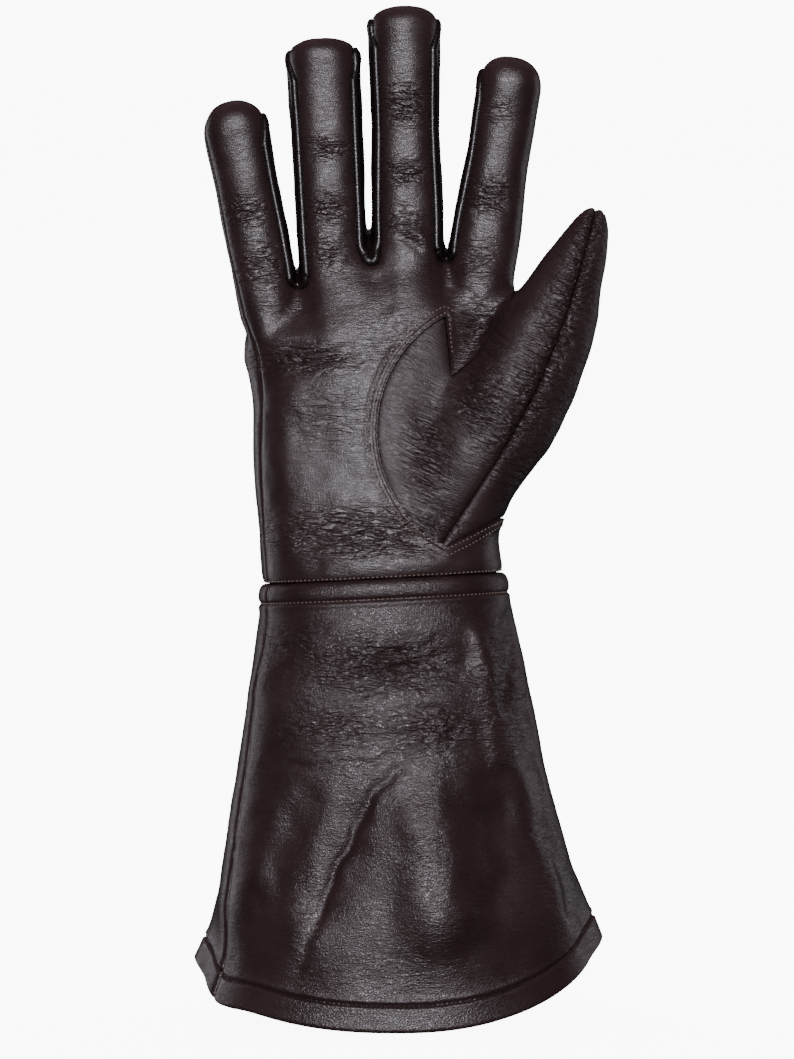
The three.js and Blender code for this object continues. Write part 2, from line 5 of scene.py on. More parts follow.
import bmesh
import bpy
import numpy as np
from bpy.props import FloatProperty, FloatVectorProperty, PointerProperty
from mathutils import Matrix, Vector


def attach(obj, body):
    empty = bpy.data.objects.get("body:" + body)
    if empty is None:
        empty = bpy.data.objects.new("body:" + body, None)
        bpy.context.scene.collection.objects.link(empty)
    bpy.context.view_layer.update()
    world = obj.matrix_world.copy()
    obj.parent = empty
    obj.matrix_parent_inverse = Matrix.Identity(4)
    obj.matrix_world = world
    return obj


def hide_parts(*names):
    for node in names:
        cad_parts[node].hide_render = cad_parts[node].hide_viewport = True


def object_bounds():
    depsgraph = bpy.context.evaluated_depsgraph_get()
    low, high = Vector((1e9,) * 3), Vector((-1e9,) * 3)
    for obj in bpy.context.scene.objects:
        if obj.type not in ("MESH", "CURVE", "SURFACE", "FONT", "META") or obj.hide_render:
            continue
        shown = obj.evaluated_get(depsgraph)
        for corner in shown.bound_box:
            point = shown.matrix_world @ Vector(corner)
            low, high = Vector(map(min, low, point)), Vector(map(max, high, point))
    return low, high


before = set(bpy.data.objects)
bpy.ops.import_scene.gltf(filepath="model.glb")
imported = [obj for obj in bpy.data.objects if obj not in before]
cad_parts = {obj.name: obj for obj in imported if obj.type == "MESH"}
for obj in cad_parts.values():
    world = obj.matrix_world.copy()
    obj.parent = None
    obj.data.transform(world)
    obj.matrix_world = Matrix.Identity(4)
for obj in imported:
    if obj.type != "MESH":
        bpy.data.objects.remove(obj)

CAD_BOX = [list(corner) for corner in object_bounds()]

bl_info = {
    "name": "Gauntlet glove",
    "version": (1, 0, 0),
    "blender": (4, 5, 0),
    "location": "3D View > Sidebar > Glove",
    "description": "Builds the dressed leather of a gauntlet glove around its packed solids",
    "category": "Object",
}

# Lengths below are millimetres, as in the solids; meshes are made in metres.
METRE = 0.001

# The solids' own sizes
FINGER_WIDTH = 26.1
FINGER_DEPTH = 23.4
FINGER_LENGTH = 90.0
FINGER_CURL = 6.0
FINGER_SET = -2.0
FOURCHETTE_WIDTH = 17.6
FOURCHETTE_TAPER = 12.0
FOURCHETTE_END = 3.6
PALM_LENGTH = 112.0
WRIST_DEPTH = 56.0
WRIST_TILT = 0.05
CROTCH_GAP = 0.35
PALM_SIDE_SET = 9.0
FINGER_SIDE_SET = 5.0
THUMB_LENGTH = 129.0
THUMB_WIDTH = 39.0
THUMB_DEPTH = 32.0
THUMB_LEAN = math.radians(24.5)
THUMB_SEAM_BOW = 7.5
CRESCENT_RADIUS = 46.0
CUFF_SIDE_LENGTH = 133.0
CUFF_FRONT_LENGTH = 154.0
CUFF_BACK_LENGTH = 146.0
HEM_WIDTH = 146.0
HEM_DEPTH = 99.0
HEM_SHIFT = 5.5
HEM_SLANT = 3.6
HEM_CORNER = 4.0
TOP_BAND = 8.2
HEM_BAND = 9.0

# Each finger: width, depth and length as shares of the middle finger's, lean in degrees, width
# at root, waist and bulb as shares of its own width, length and power of its round tip.
FINGERS = (
    dict(name="little", width=0.91, depth=0.95, length=0.641, lean=-10.9,
         root=0.97, waist=0.955, bulb=1.0, cap=0.55, power=2.2),
    dict(name="ring", width=1.015, depth=1.0, length=0.876, lean=-2.9,
         root=0.95, waist=0.965, bulb=1.0, cap=0.35, power=2.6),
    dict(name="middle", width=1.0, depth=1.0, length=1.0, lean=-1.1,
         root=1.0, waist=0.93, bulb=0.99, cap=0.36, power=2.6),
    dict(name="index", width=0.973, depth=0.98, length=0.814, lean=8.8,
         root=1.0, waist=0.89, bulb=0.915, cap=0.48, power=2.3),
)
FINGER_ROW_SHIFT = -0.035
FINGER_POWER = 2.4

# Sections of the hand: height as a share of the arch, half-width and shift as shares of the
# hand's width, front and back as shares of the wrist's depth.
HAND_ROWS = (
    dict(up=0.0, half=0.42, shift=0.0, front=0.5, back=0.5),
    dict(up=0.13, half=0.414, shift=-0.012, front=0.46, back=0.45),
    dict(up=0.27, half=0.418, shift=-0.019, front=0.42, back=0.41),
    dict(up=0.44, half=0.426, shift=-0.024, front=0.395, back=0.375),
    dict(up=0.58, half=0.432, shift=-0.018, front=0.375, back=0.35),
    dict(up=0.7, half=0.439, shift=-0.015, front=0.33, back=0.313),
    dict(up=0.82, half=0.452, shift=-0.016, front=0.27, back=0.268),
    dict(up=0.9, half=0.462, shift=-0.018, front=0.205, back=0.205),
    dict(up=0.96, half=0.45, shift=-0.02, front=0.145, back=0.145),
    dict(up=1.0, half=0.41, shift=-0.02, front=0.035, back=0.035),
)
HAND_POWER = 2.5
ARCH = dict(top=1.088, centre=-0.054, slope=0.185, fall=1.43)

# Sections of the thumb before its tip is rounded: place along it, sides as shares of its
# width, middle and half-depth as shares of its depth.
THUMB_ROWS = (
    dict(along=-0.06, left=-0.4, right=0.1, middle=-0.2, half=0.3),
    dict(along=0.11, left=-0.5, right=0.36, middle=-0.28, half=0.46),
    dict(along=0.24, left=-0.56, right=0.44, middle=-0.33, half=0.52),
    dict(along=0.36, left=-0.54, right=0.53, middle=-0.36, half=0.5),
    dict(along=0.48, left=-0.45, right=0.536, middle=-0.39, half=0.47),
    dict(along=0.6, left=-0.39, right=0.512, middle=-0.4, half=0.45),
    dict(along=0.72, left=-0.31, right=0.44, middle=-0.42, half=0.42),
    dict(along=0.81, left=-0.253, right=0.351, middle=-0.45, half=0.383),
    dict(along=0.873, left=-0.227, right=0.319, middle=-0.465, half=0.374),
    dict(along=0.93, left=-0.221, right=0.299, middle=-0.48, half=0.368),
    dict(along=1.0, left=-0.245, right=0.285, middle=-0.49, half=0.362),
)
THUMB_POWER = 2.2
THUMB_TIP = 0.76  # where the thumb's round tip starts
THUMB_BASE = dict(across=0.21, up=0.118)
CRESCENT = dict(across=0.43, up=0.46, start=119.0, end=241.0)
NOTCH = ((0.403, 0.188), (0.434, 0.867), (0.305, 0.686), (0.234, 0.629))
THUMB_EDGE = dict(low=0.405, high=0.44)

CUFF_ROWS = (
    dict(down=0.0, flare=0.0, shift=0.0),
    dict(down=0.062, flare=0.045, shift=0.08),
    dict(down=0.17, flare=0.13, shift=0.23),
    dict(down=0.28, flare=0.215, shift=0.33),
    dict(down=0.38, flare=0.295, shift=0.42),
    dict(down=0.49, flare=0.375, shift=0.46),
    dict(down=0.6, flare=0.465, shift=0.5),
    dict(down=0.7, flare=0.565, shift=0.65),
    dict(down=0.78, flare=0.65, shift=0.78),
    dict(down=0.86, flare=0.76, shift=0.95),
    dict(down=0.932, flare=0.875, shift=1.05),
    dict(down=1.0, flare=1.0, shift=1.0),
)
CUFF_POWER = 2.25
HEM_POWER = 1.15
CUFF_SEAMS = dict(little=-0.43, thumb=0.1)
HEM_CORNER_SPREAD = 0.2

# Where the camera stands and how the photograph's frame lies on the plane of the hand.
CAMERA_PLACE = (5.0, -1000.0, 17.0)
PICTURE_SCALE = 2.8
PICTURE_MIDDLE = (397.0, 529.5)

# Creased patches of the front, in picture points: middle, reach across and down, strength.
HAND_PATCHES = (
    (247, 212, 22, 16, 1.0), (262, 268, 30, 26, 0.8), (325, 148, 26, 12, 0.9),
    (328, 208, 26, 16, 1.0), (330, 255, 28, 20, 0.7), (402, 104, 26, 20, 1.1),
    (404, 172, 26, 13, 1.0), (408, 225, 26, 20, 0.6), (494, 112, 24, 16, 0.5),
    (488, 195, 26, 18, 1.0), (470, 262, 36, 24, 0.6), (300, 358, 50, 15, 1.0),
    (285, 306, 30, 12, 0.4), (320, 415, 60, 36, 0.3), (355, 533, 85, 24, 1.05),
    (440, 520, 30, 24, 0.9), (428, 455, 20, 50, 1.3), (482, 400, 26, 34, 1.5),
    (480, 335, 26, 30, 1.0), (395, 335, 40, 36, 0.25), (545, 370, 28, 50, 1.0),
    (505, 455, 30, 34, 0.9), (575, 270, 20, 40, 0.5),
)
CUFF_PATCHES = (
    (380, 665, 72, 26, 1.0), (335, 728, 44, 24, 0.7), (440, 728, 60, 22, 0.8),
    (425, 850, 60, 50, 0.2), (500, 700, 26, 80, 0.7), (470, 905, 60, 50, 0.25),
    (300, 900, 50, 80, 0.2), (290, 640, 40, 40, 0.4), (540, 860, 30, 70, 0.3),
)
# Folds and sharp creases, in picture points: breadth and rise, then the line.
HAND_FOLDS = (
    (8.0, 1.5, (276, 350), (280, 440), (286, 540)),
    (5.0, -1.0, (303, 296), (303, 318)),
    (5.0, -0.7, (384, 280), (390, 300)),
    (9.0, 1.0, (400, 300), (425, 306)),
    (4.0, -0.9, (446, 272), (446, 292)),
    (1.1, -0.5, (256, 353), (300, 350), (352, 345)),
    (1.0, -0.4, (262, 363), (310, 361), (345, 357)),
    (8.0, 0.7, (268, 328), (322, 330)),
    (1.2, -0.45, (290, 556), (330, 541), (380, 534), (425, 541)),
    (1.2, -0.45, (300, 535), (345, 522), (390, 521), (425, 533)),
    (1.1, -0.35, (330, 512), (370, 508), (405, 518)),
    (1.1, -0.4, (360, 552), (400, 543), (435, 549)),
    (4.0, 0.8, (330, 562), (400, 560), (480, 558)),
    (2.4, 0.8, (400, 221), (418, 231), (432, 250)),
    (1.6, -0.5, (394, 233), (411, 244), (424, 259)),
    (1.5, -0.4, (440, 282), (470, 292), (496, 312)),
    (3.0, 0.5, (455, 392), (482, 402), (512, 424)),
    (1.6, -0.5, (452, 400), (476, 414), (500, 440)),
    (1.4, -0.4, (462, 386), (490, 388), (520, 398)),
)
CUFF_FOLDS = (
    (2.2, -1.1, (299, 969), (310, 937), (326, 892), (349, 842), (372, 796), (390, 776),
     (417, 760), (445, 755)),
    (15.0, 5.4, (430, 835), (444, 915)),
    (8.0, -1.6, (322, 900), (356, 820)),
    (1.0, -0.7, (245, 767), (304, 767), (372, 760), (426, 753)),
    (7.0, -1.8, (410, 668), (462, 662)),
    (1.3, -0.9, (330, 668), (372, 676), (410, 668), (452, 650)),
    (1.2, -0.8, (352, 640), (380, 655), (418, 650), (440, 636)),
    (1.2, -0.8, (318, 690), (360, 694), (402, 684), (440, 684)),
    (1.1, -0.6, (392, 712), (440, 706), (486, 722)),
    (1.1, -0.6, (388, 734), (430, 728), (482, 742)),
    (4.0, 1.4, (480, 640), (492, 700), (500, 760)),
    (3.0, -1.5, (508, 618), (512, 660), (506, 700)),
    (3.4, -1.4, (522, 705), (534, 778), (549, 842), (575, 905)),
    (7.0, -1.5, (500, 780), (498, 860), (492, 910)),
    (9.0, 1.4, (540, 800), (556, 900)),
    (10.0, 1.8, (262, 690), (250, 800), (240, 900)),
    (6.0, -1.0, (262, 940), (280, 860), (310, 800)),
)


def curve_through(rows, key, value):
    """A smooth curve through one column of a table, which never overshoots it."""
    xs = np.array([row[key] for row in rows])
    ys = np.array([row[value] for row in rows])
    step = np.diff(xs)
    rise = np.diff(ys) / step
    same = rise[:-1] * rise[1:] > 0
    slope = np.zeros_like(ys)
    total = np.where(same, rise[:-1] + rise[1:], 1)
    slope[1:-1] = np.where(same, 2 * rise[:-1] * rise[1:] / total, 0)
    slope[0], slope[-1] = rise[0], rise[-1]

    def curve(x):
        x = np.clip(x, xs[0], xs[-1])
        i = np.clip(np.searchsorted(xs, x, side="right") - 1, 0, len(step) - 1)
        t = (x - xs[i]) / step[i]
        start = (1 + 2 * t) * (1 - t) ** 2 * ys[i] + t * (1 - t) ** 2 * step[i] * slope[i]
        end = t * t * (3 - 2 * t) * ys[i + 1] + t * t * (t - 1) * step[i] * slope[i + 1]
        return start + end

    return curve


def ramp(x, low, high):
    """0 below low, 1 above high and a smooth rise between."""
    t = np.clip((x - low) / (high - low), 0, 1)
    return t * t * (3 - 2 * t)


def hump(x):
    return np.exp(-x * x)


# Finger places, as in the solids: side by side at the height of the crotches.
finger_spans = [row["width"] * FINGER_WIDTH for row in FINGERS]
hand_width = sum(finger_spans) + CROTCH_GAP * (len(FINGERS) - 1)


def placed_fingers():
    edge = FINGER_ROW_SHIFT * hand_width - hand_width / 2
    fingers = []
    for row, span in zip(FINGERS, finger_spans):
        fingers.append(dict(
            row,
            x=edge + span / 2,
            span=span,
            thick=row["depth"] * FINGER_DEPTH,
            reach=row["length"] * FINGER_LENGTH,
            tilt=math.radians(row["lean"]),
        ))
        edge += span + CROTCH_GAP
    return fingers


fingers = placed_fingers()
HAND = {key: curve_through(HAND_ROWS, "up", key) for key in ("half", "shift", "front", "back")}
THUMB = {key: curve_through(THUMB_ROWS, "along", key)
         for key in ("left", "right", "middle", "half")}
CUFF = {key: curve_through(CUFF_ROWS, "down", key) for key in ("flare", "shift")}


def finger_middle(finger, along):
    """y of a finger's middle line."""
    return FINGER_SET - FINGER_CURL * np.clip(along / finger["reach"], 0, 1.1) ** 2


def on_finger(finger, points):
    """Place along a finger, across it and deep in it."""
    dx = points[:, 0] - finger["x"]
    dz = points[:, 2] - PALM_LENGTH
    c, s = math.cos(finger["tilt"]), math.sin(finger["tilt"])
    along = dx * s + dz * c
    return along, dx * c - dz * s, points[:, 1] - finger_middle(finger, along)


def finger_field(finger, points):
    """Rough distance to a finger's leather, negative inside."""
    along, across, deep = on_finger(finger, points)
    cap = finger["cap"] * finger["span"]
    shaft = finger["reach"] - cap
    width = finger["root"] + (finger["waist"] - finger["root"]) * ramp(
        along, 0.15 * shaft, 0.62 * shaft)
    width = width + (finger["bulb"] - finger["waist"]) * ramp(along, 0.58 * shaft, shaft)
    size = np.interp(along, (-0.42 * PALM_LENGTH, -0.16 * PALM_LENGTH, 0.2 * shaft), (0.6, 0.97, 1))
    half = width * finger["span"] / 2 * size
    thick = finger["thick"] / 2 * size
    flat = (np.abs(across) / half) ** FINGER_POWER + (np.abs(deep) / thick) ** FINGER_POWER
    beyond = np.maximum(along - shaft, 0)
    power = finger["power"]
    share = (flat ** (power / FINGER_POWER) + (beyond / cap) ** power) ** (1 / power)
    radius = np.sqrt(across ** 2 + deep ** 2 + beyond ** 2)
    return radius * (1 - 1 / np.maximum(share, 1e-3))


def arch_height(x):
    away = x / hand_width - ARCH["centre"]
    rise = ARCH["slope"] * away - ARCH["fall"] * away * away
    return PALM_LENGTH * ARCH["top"] + hand_width * rise


def hand_field(points):
    """Rough distance to the hand without fingers, negative inside."""
    x, y, z = points.T
    seam = WRIST_TILT * x
    tall = arch_height(x) - seam
    up = (z - seam) / tall
    across = x - HAND["shift"](up) * hand_width
    half = HAND["half"](up) * hand_width
    round_off = np.sqrt(np.clip((1 - up) / 0.1, 1e-4, 1))
    depth = np.where(y < 0, HAND["front"](np.minimum(up, 0.9)), HAND["back"](np.minimum(up, 0.9)))
    depth = depth * round_off * WRIST_DEPTH
    share = ((np.abs(across) / half) ** HAND_POWER + (np.abs(y) / depth) ** HAND_POWER)
    share = np.maximum(share ** (1 / HAND_POWER), 1e-3)
    distance = np.hypot(across, y) * (1 - 1 / share)
    return np.where(up > 1, np.maximum(distance, (up - 1) * tall), distance)


def on_thumb(points):
    """Share along the thumb and millimetres across it."""
    dx = points[:, 0] - THUMB_BASE["across"] * hand_width
    dz = points[:, 2] - THUMB_BASE["up"] * PALM_LENGTH
    c, s = math.cos(THUMB_LEAN), math.sin(THUMB_LEAN)
    return (dx * s + dz * c) / THUMB_LENGTH, dx * c - dz * s


def thumb_field(points):
    """Rough distance to the thumb with its ball, negative inside."""
    along, across = on_thumb(points)
    left = THUMB["left"](along) * THUMB_WIDTH
    right = THUMB["right"](along) * THUMB_WIDTH
    depth = THUMB["half"](along) * THUMB_DEPTH
    aside = across - (left + right) / 2
    deep = points[:, 1] - THUMB["middle"](along) * THUMB_DEPTH
    flat = (np.abs(aside) / (right - left) * 2) ** THUMB_POWER
    flat = (flat + (np.abs(deep) / depth) ** THUMB_POWER) ** (1 / THUMB_POWER)
    beyond = np.maximum(along - THUMB_TIP, 0)
    below = np.maximum(THUMB_ROWS[0]["along"] - along, 0)
    share = np.sqrt(flat ** 2 + (beyond / (1 - THUMB_TIP)) ** 2)
    radius = np.sqrt(aside ** 2 + deep ** 2 + (beyond * THUMB_LENGTH) ** 2)
    return radius * (1 - 1 / np.maximum(share, 1e-3)) + below * THUMB_LENGTH


def blend(a, b, breadth):
    """Union of two fields with a soft fillet."""
    t = np.clip(0.5 + 0.5 * (b - a) / breadth, 0, 1)
    return b + (a - b) * t - breadth * t * (1 - t)


CROTCH_FILLET = 5.0
THUMB_FILLET = 8.0


def glove_field(points):
    body = hand_field(points)
    for finger in fingers:
        tube = finger_field(finger, points)
        whole = tube if finger is fingers[0] else np.minimum(whole, tube)
    return blend(blend(body, whole, CROTCH_FILLET), thumb_field(points), THUMB_FILLET)


def slopes(value, points, step=0.05):
    """Gradient of a scalar function at points."""
    sides = []
    for axis in range(3):
        shift = np.zeros(3)
        shift[axis] = step
        sides.append((value(points + shift) - value(points - shift)) / (2 * step))
    return np.stack(sides, 1)


def unit(vectors):
    return vectors / np.maximum(np.linalg.norm(vectors, axis=1, keepdims=True), 1e-9)


def sampled(field, low, high, cell, box_low, box_high, empty=60.0):
    """A field on the grid low..high, worked out only inside a box of it."""
    shape = tuple(int(n) for n in np.round((high - low) / cell) + 1)
    values = np.full(shape, empty, np.float32)
    first = np.maximum(np.floor((np.array(box_low) - low) / cell).astype(int), 0)
    last = np.minimum(np.ceil((np.array(box_high) - low) / cell).astype(int) + 1, shape)
    axes = [low[i] + cell * np.arange(first[i], last[i]) for i in range(3)]
    for layer, x in zip(range(first[0], last[0]), axes[0]):
        y, z = np.meshgrid(axes[1], axes[2], indexing="ij")
        points = np.stack([np.full(y.size, x), y.ravel(), z.ravel()], 1)
        values[layer, first[1]:last[1], first[2]:last[2]] = field(points).reshape(y.shape)
    return values


def net(values, low, cell):
    """Surface net round the negative part of a grid: points and four-cornered faces."""
    inside = values < 0
    count = np.zeros([n - 1 for n in values.shape], np.uint8)
    corners = np.array([(i, j, k) for i in (0, 1) for j in (0, 1) for k in (0, 1)])
    for i, j, k in corners:
        count += inside[i:i + count.shape[0], j:j + count.shape[1], k:k + count.shape[2]]
    active = (count > 0) & (count < 8)
    number = np.full(active.shape, -1, np.int64)
    number[active] = np.arange(active.sum())
    cells = np.argwhere(active)
    value = np.stack([values[tuple((cells + c).T)] for c in corners], 1)
    points = np.zeros((len(cells), 3))
    weight = np.zeros(len(cells))
    for a in range(8):
        for b in range(a + 1, 8):
            if np.abs(corners[a] - corners[b]).sum() != 1:
                continue
            cross = (value[:, a] < 0) != (value[:, b] < 0)
            t = np.where(cross, value[:, a] / np.where(cross, value[:, a] - value[:, b], 1), 0)
            points += cross[:, None] * (corners[a] + t[:, None] * (corners[b] - corners[a]))
            weight += cross
    points = low + cell * (cells + points / weight[:, None])
    faces = []
    for axis in range(3):
        across, other = (axis + 1) % 3, (axis + 2) % 3
        ends = [slice(None)] * 3
        ends[axis] = slice(0, -1)
        first = inside[tuple(ends)]
        ends[axis] = slice(1, None)
        at = np.argwhere(first != inside[tuple(ends)])
        at = at[(at[:, across] > 0) & (at[:, other] > 0)
                & (at[:, across] < number.shape[across]) & (at[:, other] < number.shape[other])]
        u, v = np.eye(3, dtype=int)[across], np.eye(3, dtype=int)[other]
        quad = np.stack([number[tuple((at - d).T)] for d in (u + v, v, 0 * u, u)], 1)
        outward = first[tuple(at.T)]
        faces.append(np.where(outward[:, None], quad, quad[:, ::-1]))
    return points, np.concatenate(faces)


def settled(points, field, rounds=3):
    """Points moved onto the surface where a field is zero."""
    for _ in range(rounds):
        slope = slopes(field, points)
        reach = np.maximum((slope ** 2).sum(1), 0.05)
        points = points - slope * np.clip(field(points) / reach, -1, 1)[:, None]
    return points


def triangles(points, quads):
    """Quads split along their shorter diagonal."""
    a, b, c, d = (points[quads[:, i]] for i in range(4))
    short = ((a - c) ** 2).sum(1) <= ((b - d) ** 2).sum(1)
    one = np.where(short[:, None], quads[:, [0, 1, 2]], quads[:, [0, 1, 3]])
    two = np.where(short[:, None], quads[:, [0, 2, 3]], quads[:, [1, 2, 3]])
    return np.concatenate([one, two])


def glove_skin(cell):
    """The outer surface of hand, fingers and thumb: rows of points, and triangles."""
    low = np.array([-72.0, -38.0, -4.0])
    high = np.array([86.0, 34.0, 208.0])
    body = sampled(hand_field, low, high, cell, (-60, -36, -4), (60, 34, 132))
    whole = None
    for finger in fingers:
        tip = finger["x"] + finger["reach"] * math.sin(finger["tilt"])
        root = finger["x"] - 45 * math.sin(finger["tilt"])
        reach = finger["span"] / 2 + 9
        tube = sampled(
            lambda p, f=finger: finger_field(f, p), low, high, cell,
            (min(tip, root) - reach, -30, 62), (max(tip, root) + reach, 22, 208))
        whole = tube if whole is None else np.minimum(whole, tube)
    thumb = sampled(thumb_field, low, high, cell, (-18, -38, 0), (86, 16, 146))
    grid = blend(blend(body, whole, CROTCH_FILLET), thumb, THUMB_FILLET)
    points, quads = net(grid, low, cell)
    points = settled(points, glove_field)
    normals = unit(slopes(glove_field, points))
    rows = np.column_stack([points, normals, np.zeros(len(points))])
    return rows, triangles(points, quads)


# Seams, as scalar fields whose zero is the seam


def seam_sheet(side, x, z):
    """y of the sheet where the fronts (side -1) or backs (side 1) end."""
    xs, ys = [], []
    below = np.clip(1 - z / PALM_LENGTH, 0, 1)
    for i, finger in enumerate(fingers):
        rise = z - PALM_LENGTH
        along = np.minimum(rise / math.cos(finger["tilt"]), finger["reach"])
        middle = finger_middle(finger, along)
        line = finger["x"] + rise * math.tan(finger["tilt"])
        end = PALM_LENGTH + finger["reach"] * math.cos(finger["tilt"]) - FOURCHETTE_END
        left = np.sqrt(np.clip((end - z) / FOURCHETTE_TAPER, 0, 1))
        opening = side * FOURCHETTE_WIDTH / 2 * left
        set_back = left * (FINGER_SIDE_SET
                           + (PALM_SIDE_SET - FINGER_SIDE_SET) * np.minimum(2 * below, 1))
        outer = (i == 0, i == len(fingers) - 1)
        for k, sign in enumerate((-1, 1)):
            if outer[k]:
                xs.append(line + sign * 0.3 * finger["span"])
                ys.append(middle - (set_back if k == 0 else 0))
            else:
                xs.append(line + sign * 0.49 * finger["span"])
                ys.append(middle + opening)
    for k in range(1, len(xs) - 1, 2):
        meet = (xs[k] + xs[k + 1]) / 2
        xs[k] = np.minimum(xs[k], meet - 0.1)
        xs[k + 1] = np.maximum(xs[k + 1], meet + 0.1)
    y = ys[0].copy()
    for k in range(len(xs) - 1):
        t = np.clip((x - xs[k]) / (xs[k + 1] - xs[k]), 0, 1)
        y = np.where(x > xs[k], ys[k] + (ys[k + 1] - ys[k]) * t, y)
    return y


# The round ends of the strips at the crotches: heights of their bottoms, radius, how far from
# the middle between two fingers they reach, and how deep.
CROTCH_BOTTOMS = (102.9, 110.4, 112.4)
CROTCH_RADIUS = 3.2
CROTCH_REACH = 6.5
CROTCH_DEPTH = 6.5


def crotch_line(i, z):
    """x of the middle between two neighbouring fingers."""
    left, right = fingers[i], fingers[i + 1]
    lean = (math.tan(left["tilt"]) + math.tan(right["tilt"])) / 2
    return left["x"] + (left["span"] + CROTCH_GAP) / 2 + (z - PALM_LENGTH) * lean


def with_round_crotches(side, points):
    """A side's distance from the strips, whose ends are round where they meet the hand."""
    x, _, z = points.T
    for i, bottom in enumerate(CROTCH_BOTTOMS):
        centre = bottom + CROTCH_RADIUS
        aside = np.abs(x - crotch_line(i, z))
        away = np.hypot(aside, np.maximum(centre - z, 0)) - CROTCH_RADIUS
        below = np.minimum(np.minimum(away, centre - z),
                           np.minimum(side + CROTCH_DEPTH, CROTCH_REACH - aside))
        side = np.maximum(np.minimum(side, away), below)
    return side


def front_side(points):
    sheet = seam_sheet(-1, points[:, 0], points[:, 2])
    return with_round_crotches(sheet - points[:, 1], points)


def back_side(points):
    sheet = seam_sheet(1, points[:, 0], points[:, 2])
    return with_round_crotches(points[:, 1] - sheet, points)


def thumb_seam_side(points):
    """Positive on the palm's side of the thumb's long seam."""
    along, across = on_thumb(points)
    return THUMB_SEAM_BOW * np.sin(math.pi * np.clip(along, 0, 1)) - across


def wrist_side(points):
    return points[:, 2] - WRIST_TILT * points[:, 0]


def outline_side(outline, x, z):
    """Signed distance to a closed outline, positive inside."""
    nearest = np.full(x.shape, np.inf)
    inside = np.zeros(x.shape, bool)
    for (ax, az), (bx, bz) in zip(outline, outline[1:] + outline[:1]):
        ex, ez = bx - ax, bz - az
        t = np.clip(((x - ax) * ex + (z - az) * ez) / (ex * ex + ez * ez), 0, 1)
        nearest = np.minimum(nearest, np.hypot(x - ax - t * ex, z - az - t * ez))
        if az != bz:
            inside ^= ((az > z) != (bz > z)) & (x < ax + (z - az) * ex / ez)
    return np.where(inside, nearest, -nearest)


def thumb_outlines():
    turns = np.radians(np.linspace(CRESCENT["start"], CRESCENT["end"], 33))
    arc = [(CRESCENT["across"] * hand_width + CRESCENT_RADIUS * math.cos(turn),
            CRESCENT["up"] * PALM_LENGTH + CRESCENT_RADIUS * math.sin(turn)) for turn in turns]
    corner, web, fold, notch = [(a * hand_width, u * PALM_LENGTH) for a, u in NOTCH]
    far = 400.0
    beyond = (web[0] + far * math.sin(THUMB_LEAN), web[1] + far)
    front = arc + [corner, (far, corner[1]), (far, beyond[1]), beyond, web, fold, notch]
    side = [(THUMB_EDGE["low"] * hand_width, corner[1]), (far, corner[1]), (far, beyond[1]),
            beyond, (THUMB_EDGE["high"] * hand_width, web[1])]
    return front, side


THUMB_FRONT, THUMB_ROUND = thumb_outlines()


def thumb_side(points):
    """Positive on the thumb's leather."""
    x, y, z = points.T
    front = np.minimum(outline_side(THUMB_FRONT, x, z), -y)
    return np.maximum(front, outline_side(THUMB_ROUND, x, z))


def finger_line(i, points):
    return fingers[i]["x"] + (points[:, 2] - PALM_LENGTH) * math.tan(fingers[i]["tilt"])


def along_surface(value, points, normals, step=0.1):
    """Distance over the surface to where a scalar is zero, and the way that it grows."""
    slope = slopes(value, points, step)
    slope -= normals * (slope * normals).sum(1, keepdims=True)
    steep = np.maximum(np.linalg.norm(slope, axis=1), 0.25)
    return value(points) / steep, slope / steep[:, None]


# Cutting triangle meshes. A row of a mesh holds a place, a normal, whether the point is held
# on a border, and sometimes a distance and the way that it grows.

PLACE = slice(0, 3)
NORMAL = slice(3, 6)
HELD = 6
DISTANCE = 7
WAY = slice(8, 11)


def crossings(rows, value, pairs):
    """Number of the point where each pair of corners crosses zero, and all rows with them."""
    unique, back = np.unique(np.sort(pairs, axis=1), axis=0, return_inverse=True)
    a, b = unique.T
    t = value[a] / (value[a] - value[b])
    added = rows[a] + t[:, None] * (rows[b] - rows[a])
    numbers = len(rows) + np.arange(len(unique))
    numbers = np.where(value[a] == 0, a, np.where(value[b] == 0, b, numbers))
    return numbers[back.reshape(-1)], np.concatenate([rows, added])


def split(rows, faces, value):
    """Triangles cut along value = 0: the rows, the faces above it and the faces below."""
    above = value >= 0
    number = above[faces].sum(1)
    mixed = (number == 1) | (number == 2)
    part = faces[mixed]
    lone_above = number[mixed] == 1
    odd = np.where(lone_above[:, None], above[part], ~above[part]).argmax(1)
    order = np.arange(len(part))
    a, b, c = (part[order, (odd + i) % 3] for i in range(3))
    pairs = np.concatenate([np.stack([a, b], 1), np.stack([a, c], 1)])
    crossing, rows = crossings(rows, value, pairs)
    ab, ac = crossing[:len(a)], crossing[len(a):]
    tip = np.stack([a, ab, ac], 1)
    rest = np.concatenate([np.stack([ab, b, c], 1), np.stack([ab, c, ac], 1)])
    twice = np.concatenate([lone_above, lone_above])
    up = np.concatenate([faces[number == 3], tip[lone_above], rest[~twice]])
    down = np.concatenate([faces[number == 0], tip[~lone_above], rest[twice]])
    return rows, proper(up), proper(down)


def proper(faces):
    """Faces with three different corners."""
    a, b, c = faces.T
    return faces[(a != b) & (b != c) & (c != a)]


def compact(rows, faces):
    used, back = np.unique(faces, return_inverse=True)
    return rows[used], back.reshape(faces.shape)


SNAP = 0.28  # a point this close to a cut moves onto it
ON_BORDER = 0.99


def measured(rows, seam):
    """Rows with their distance over the surface to a seam, and the way that it grows."""
    distance, way = along_surface(seam, rows[:, PLACE], rows[:, NORMAL])
    return np.column_stack([rows[:, :DISTANCE], distance, way])


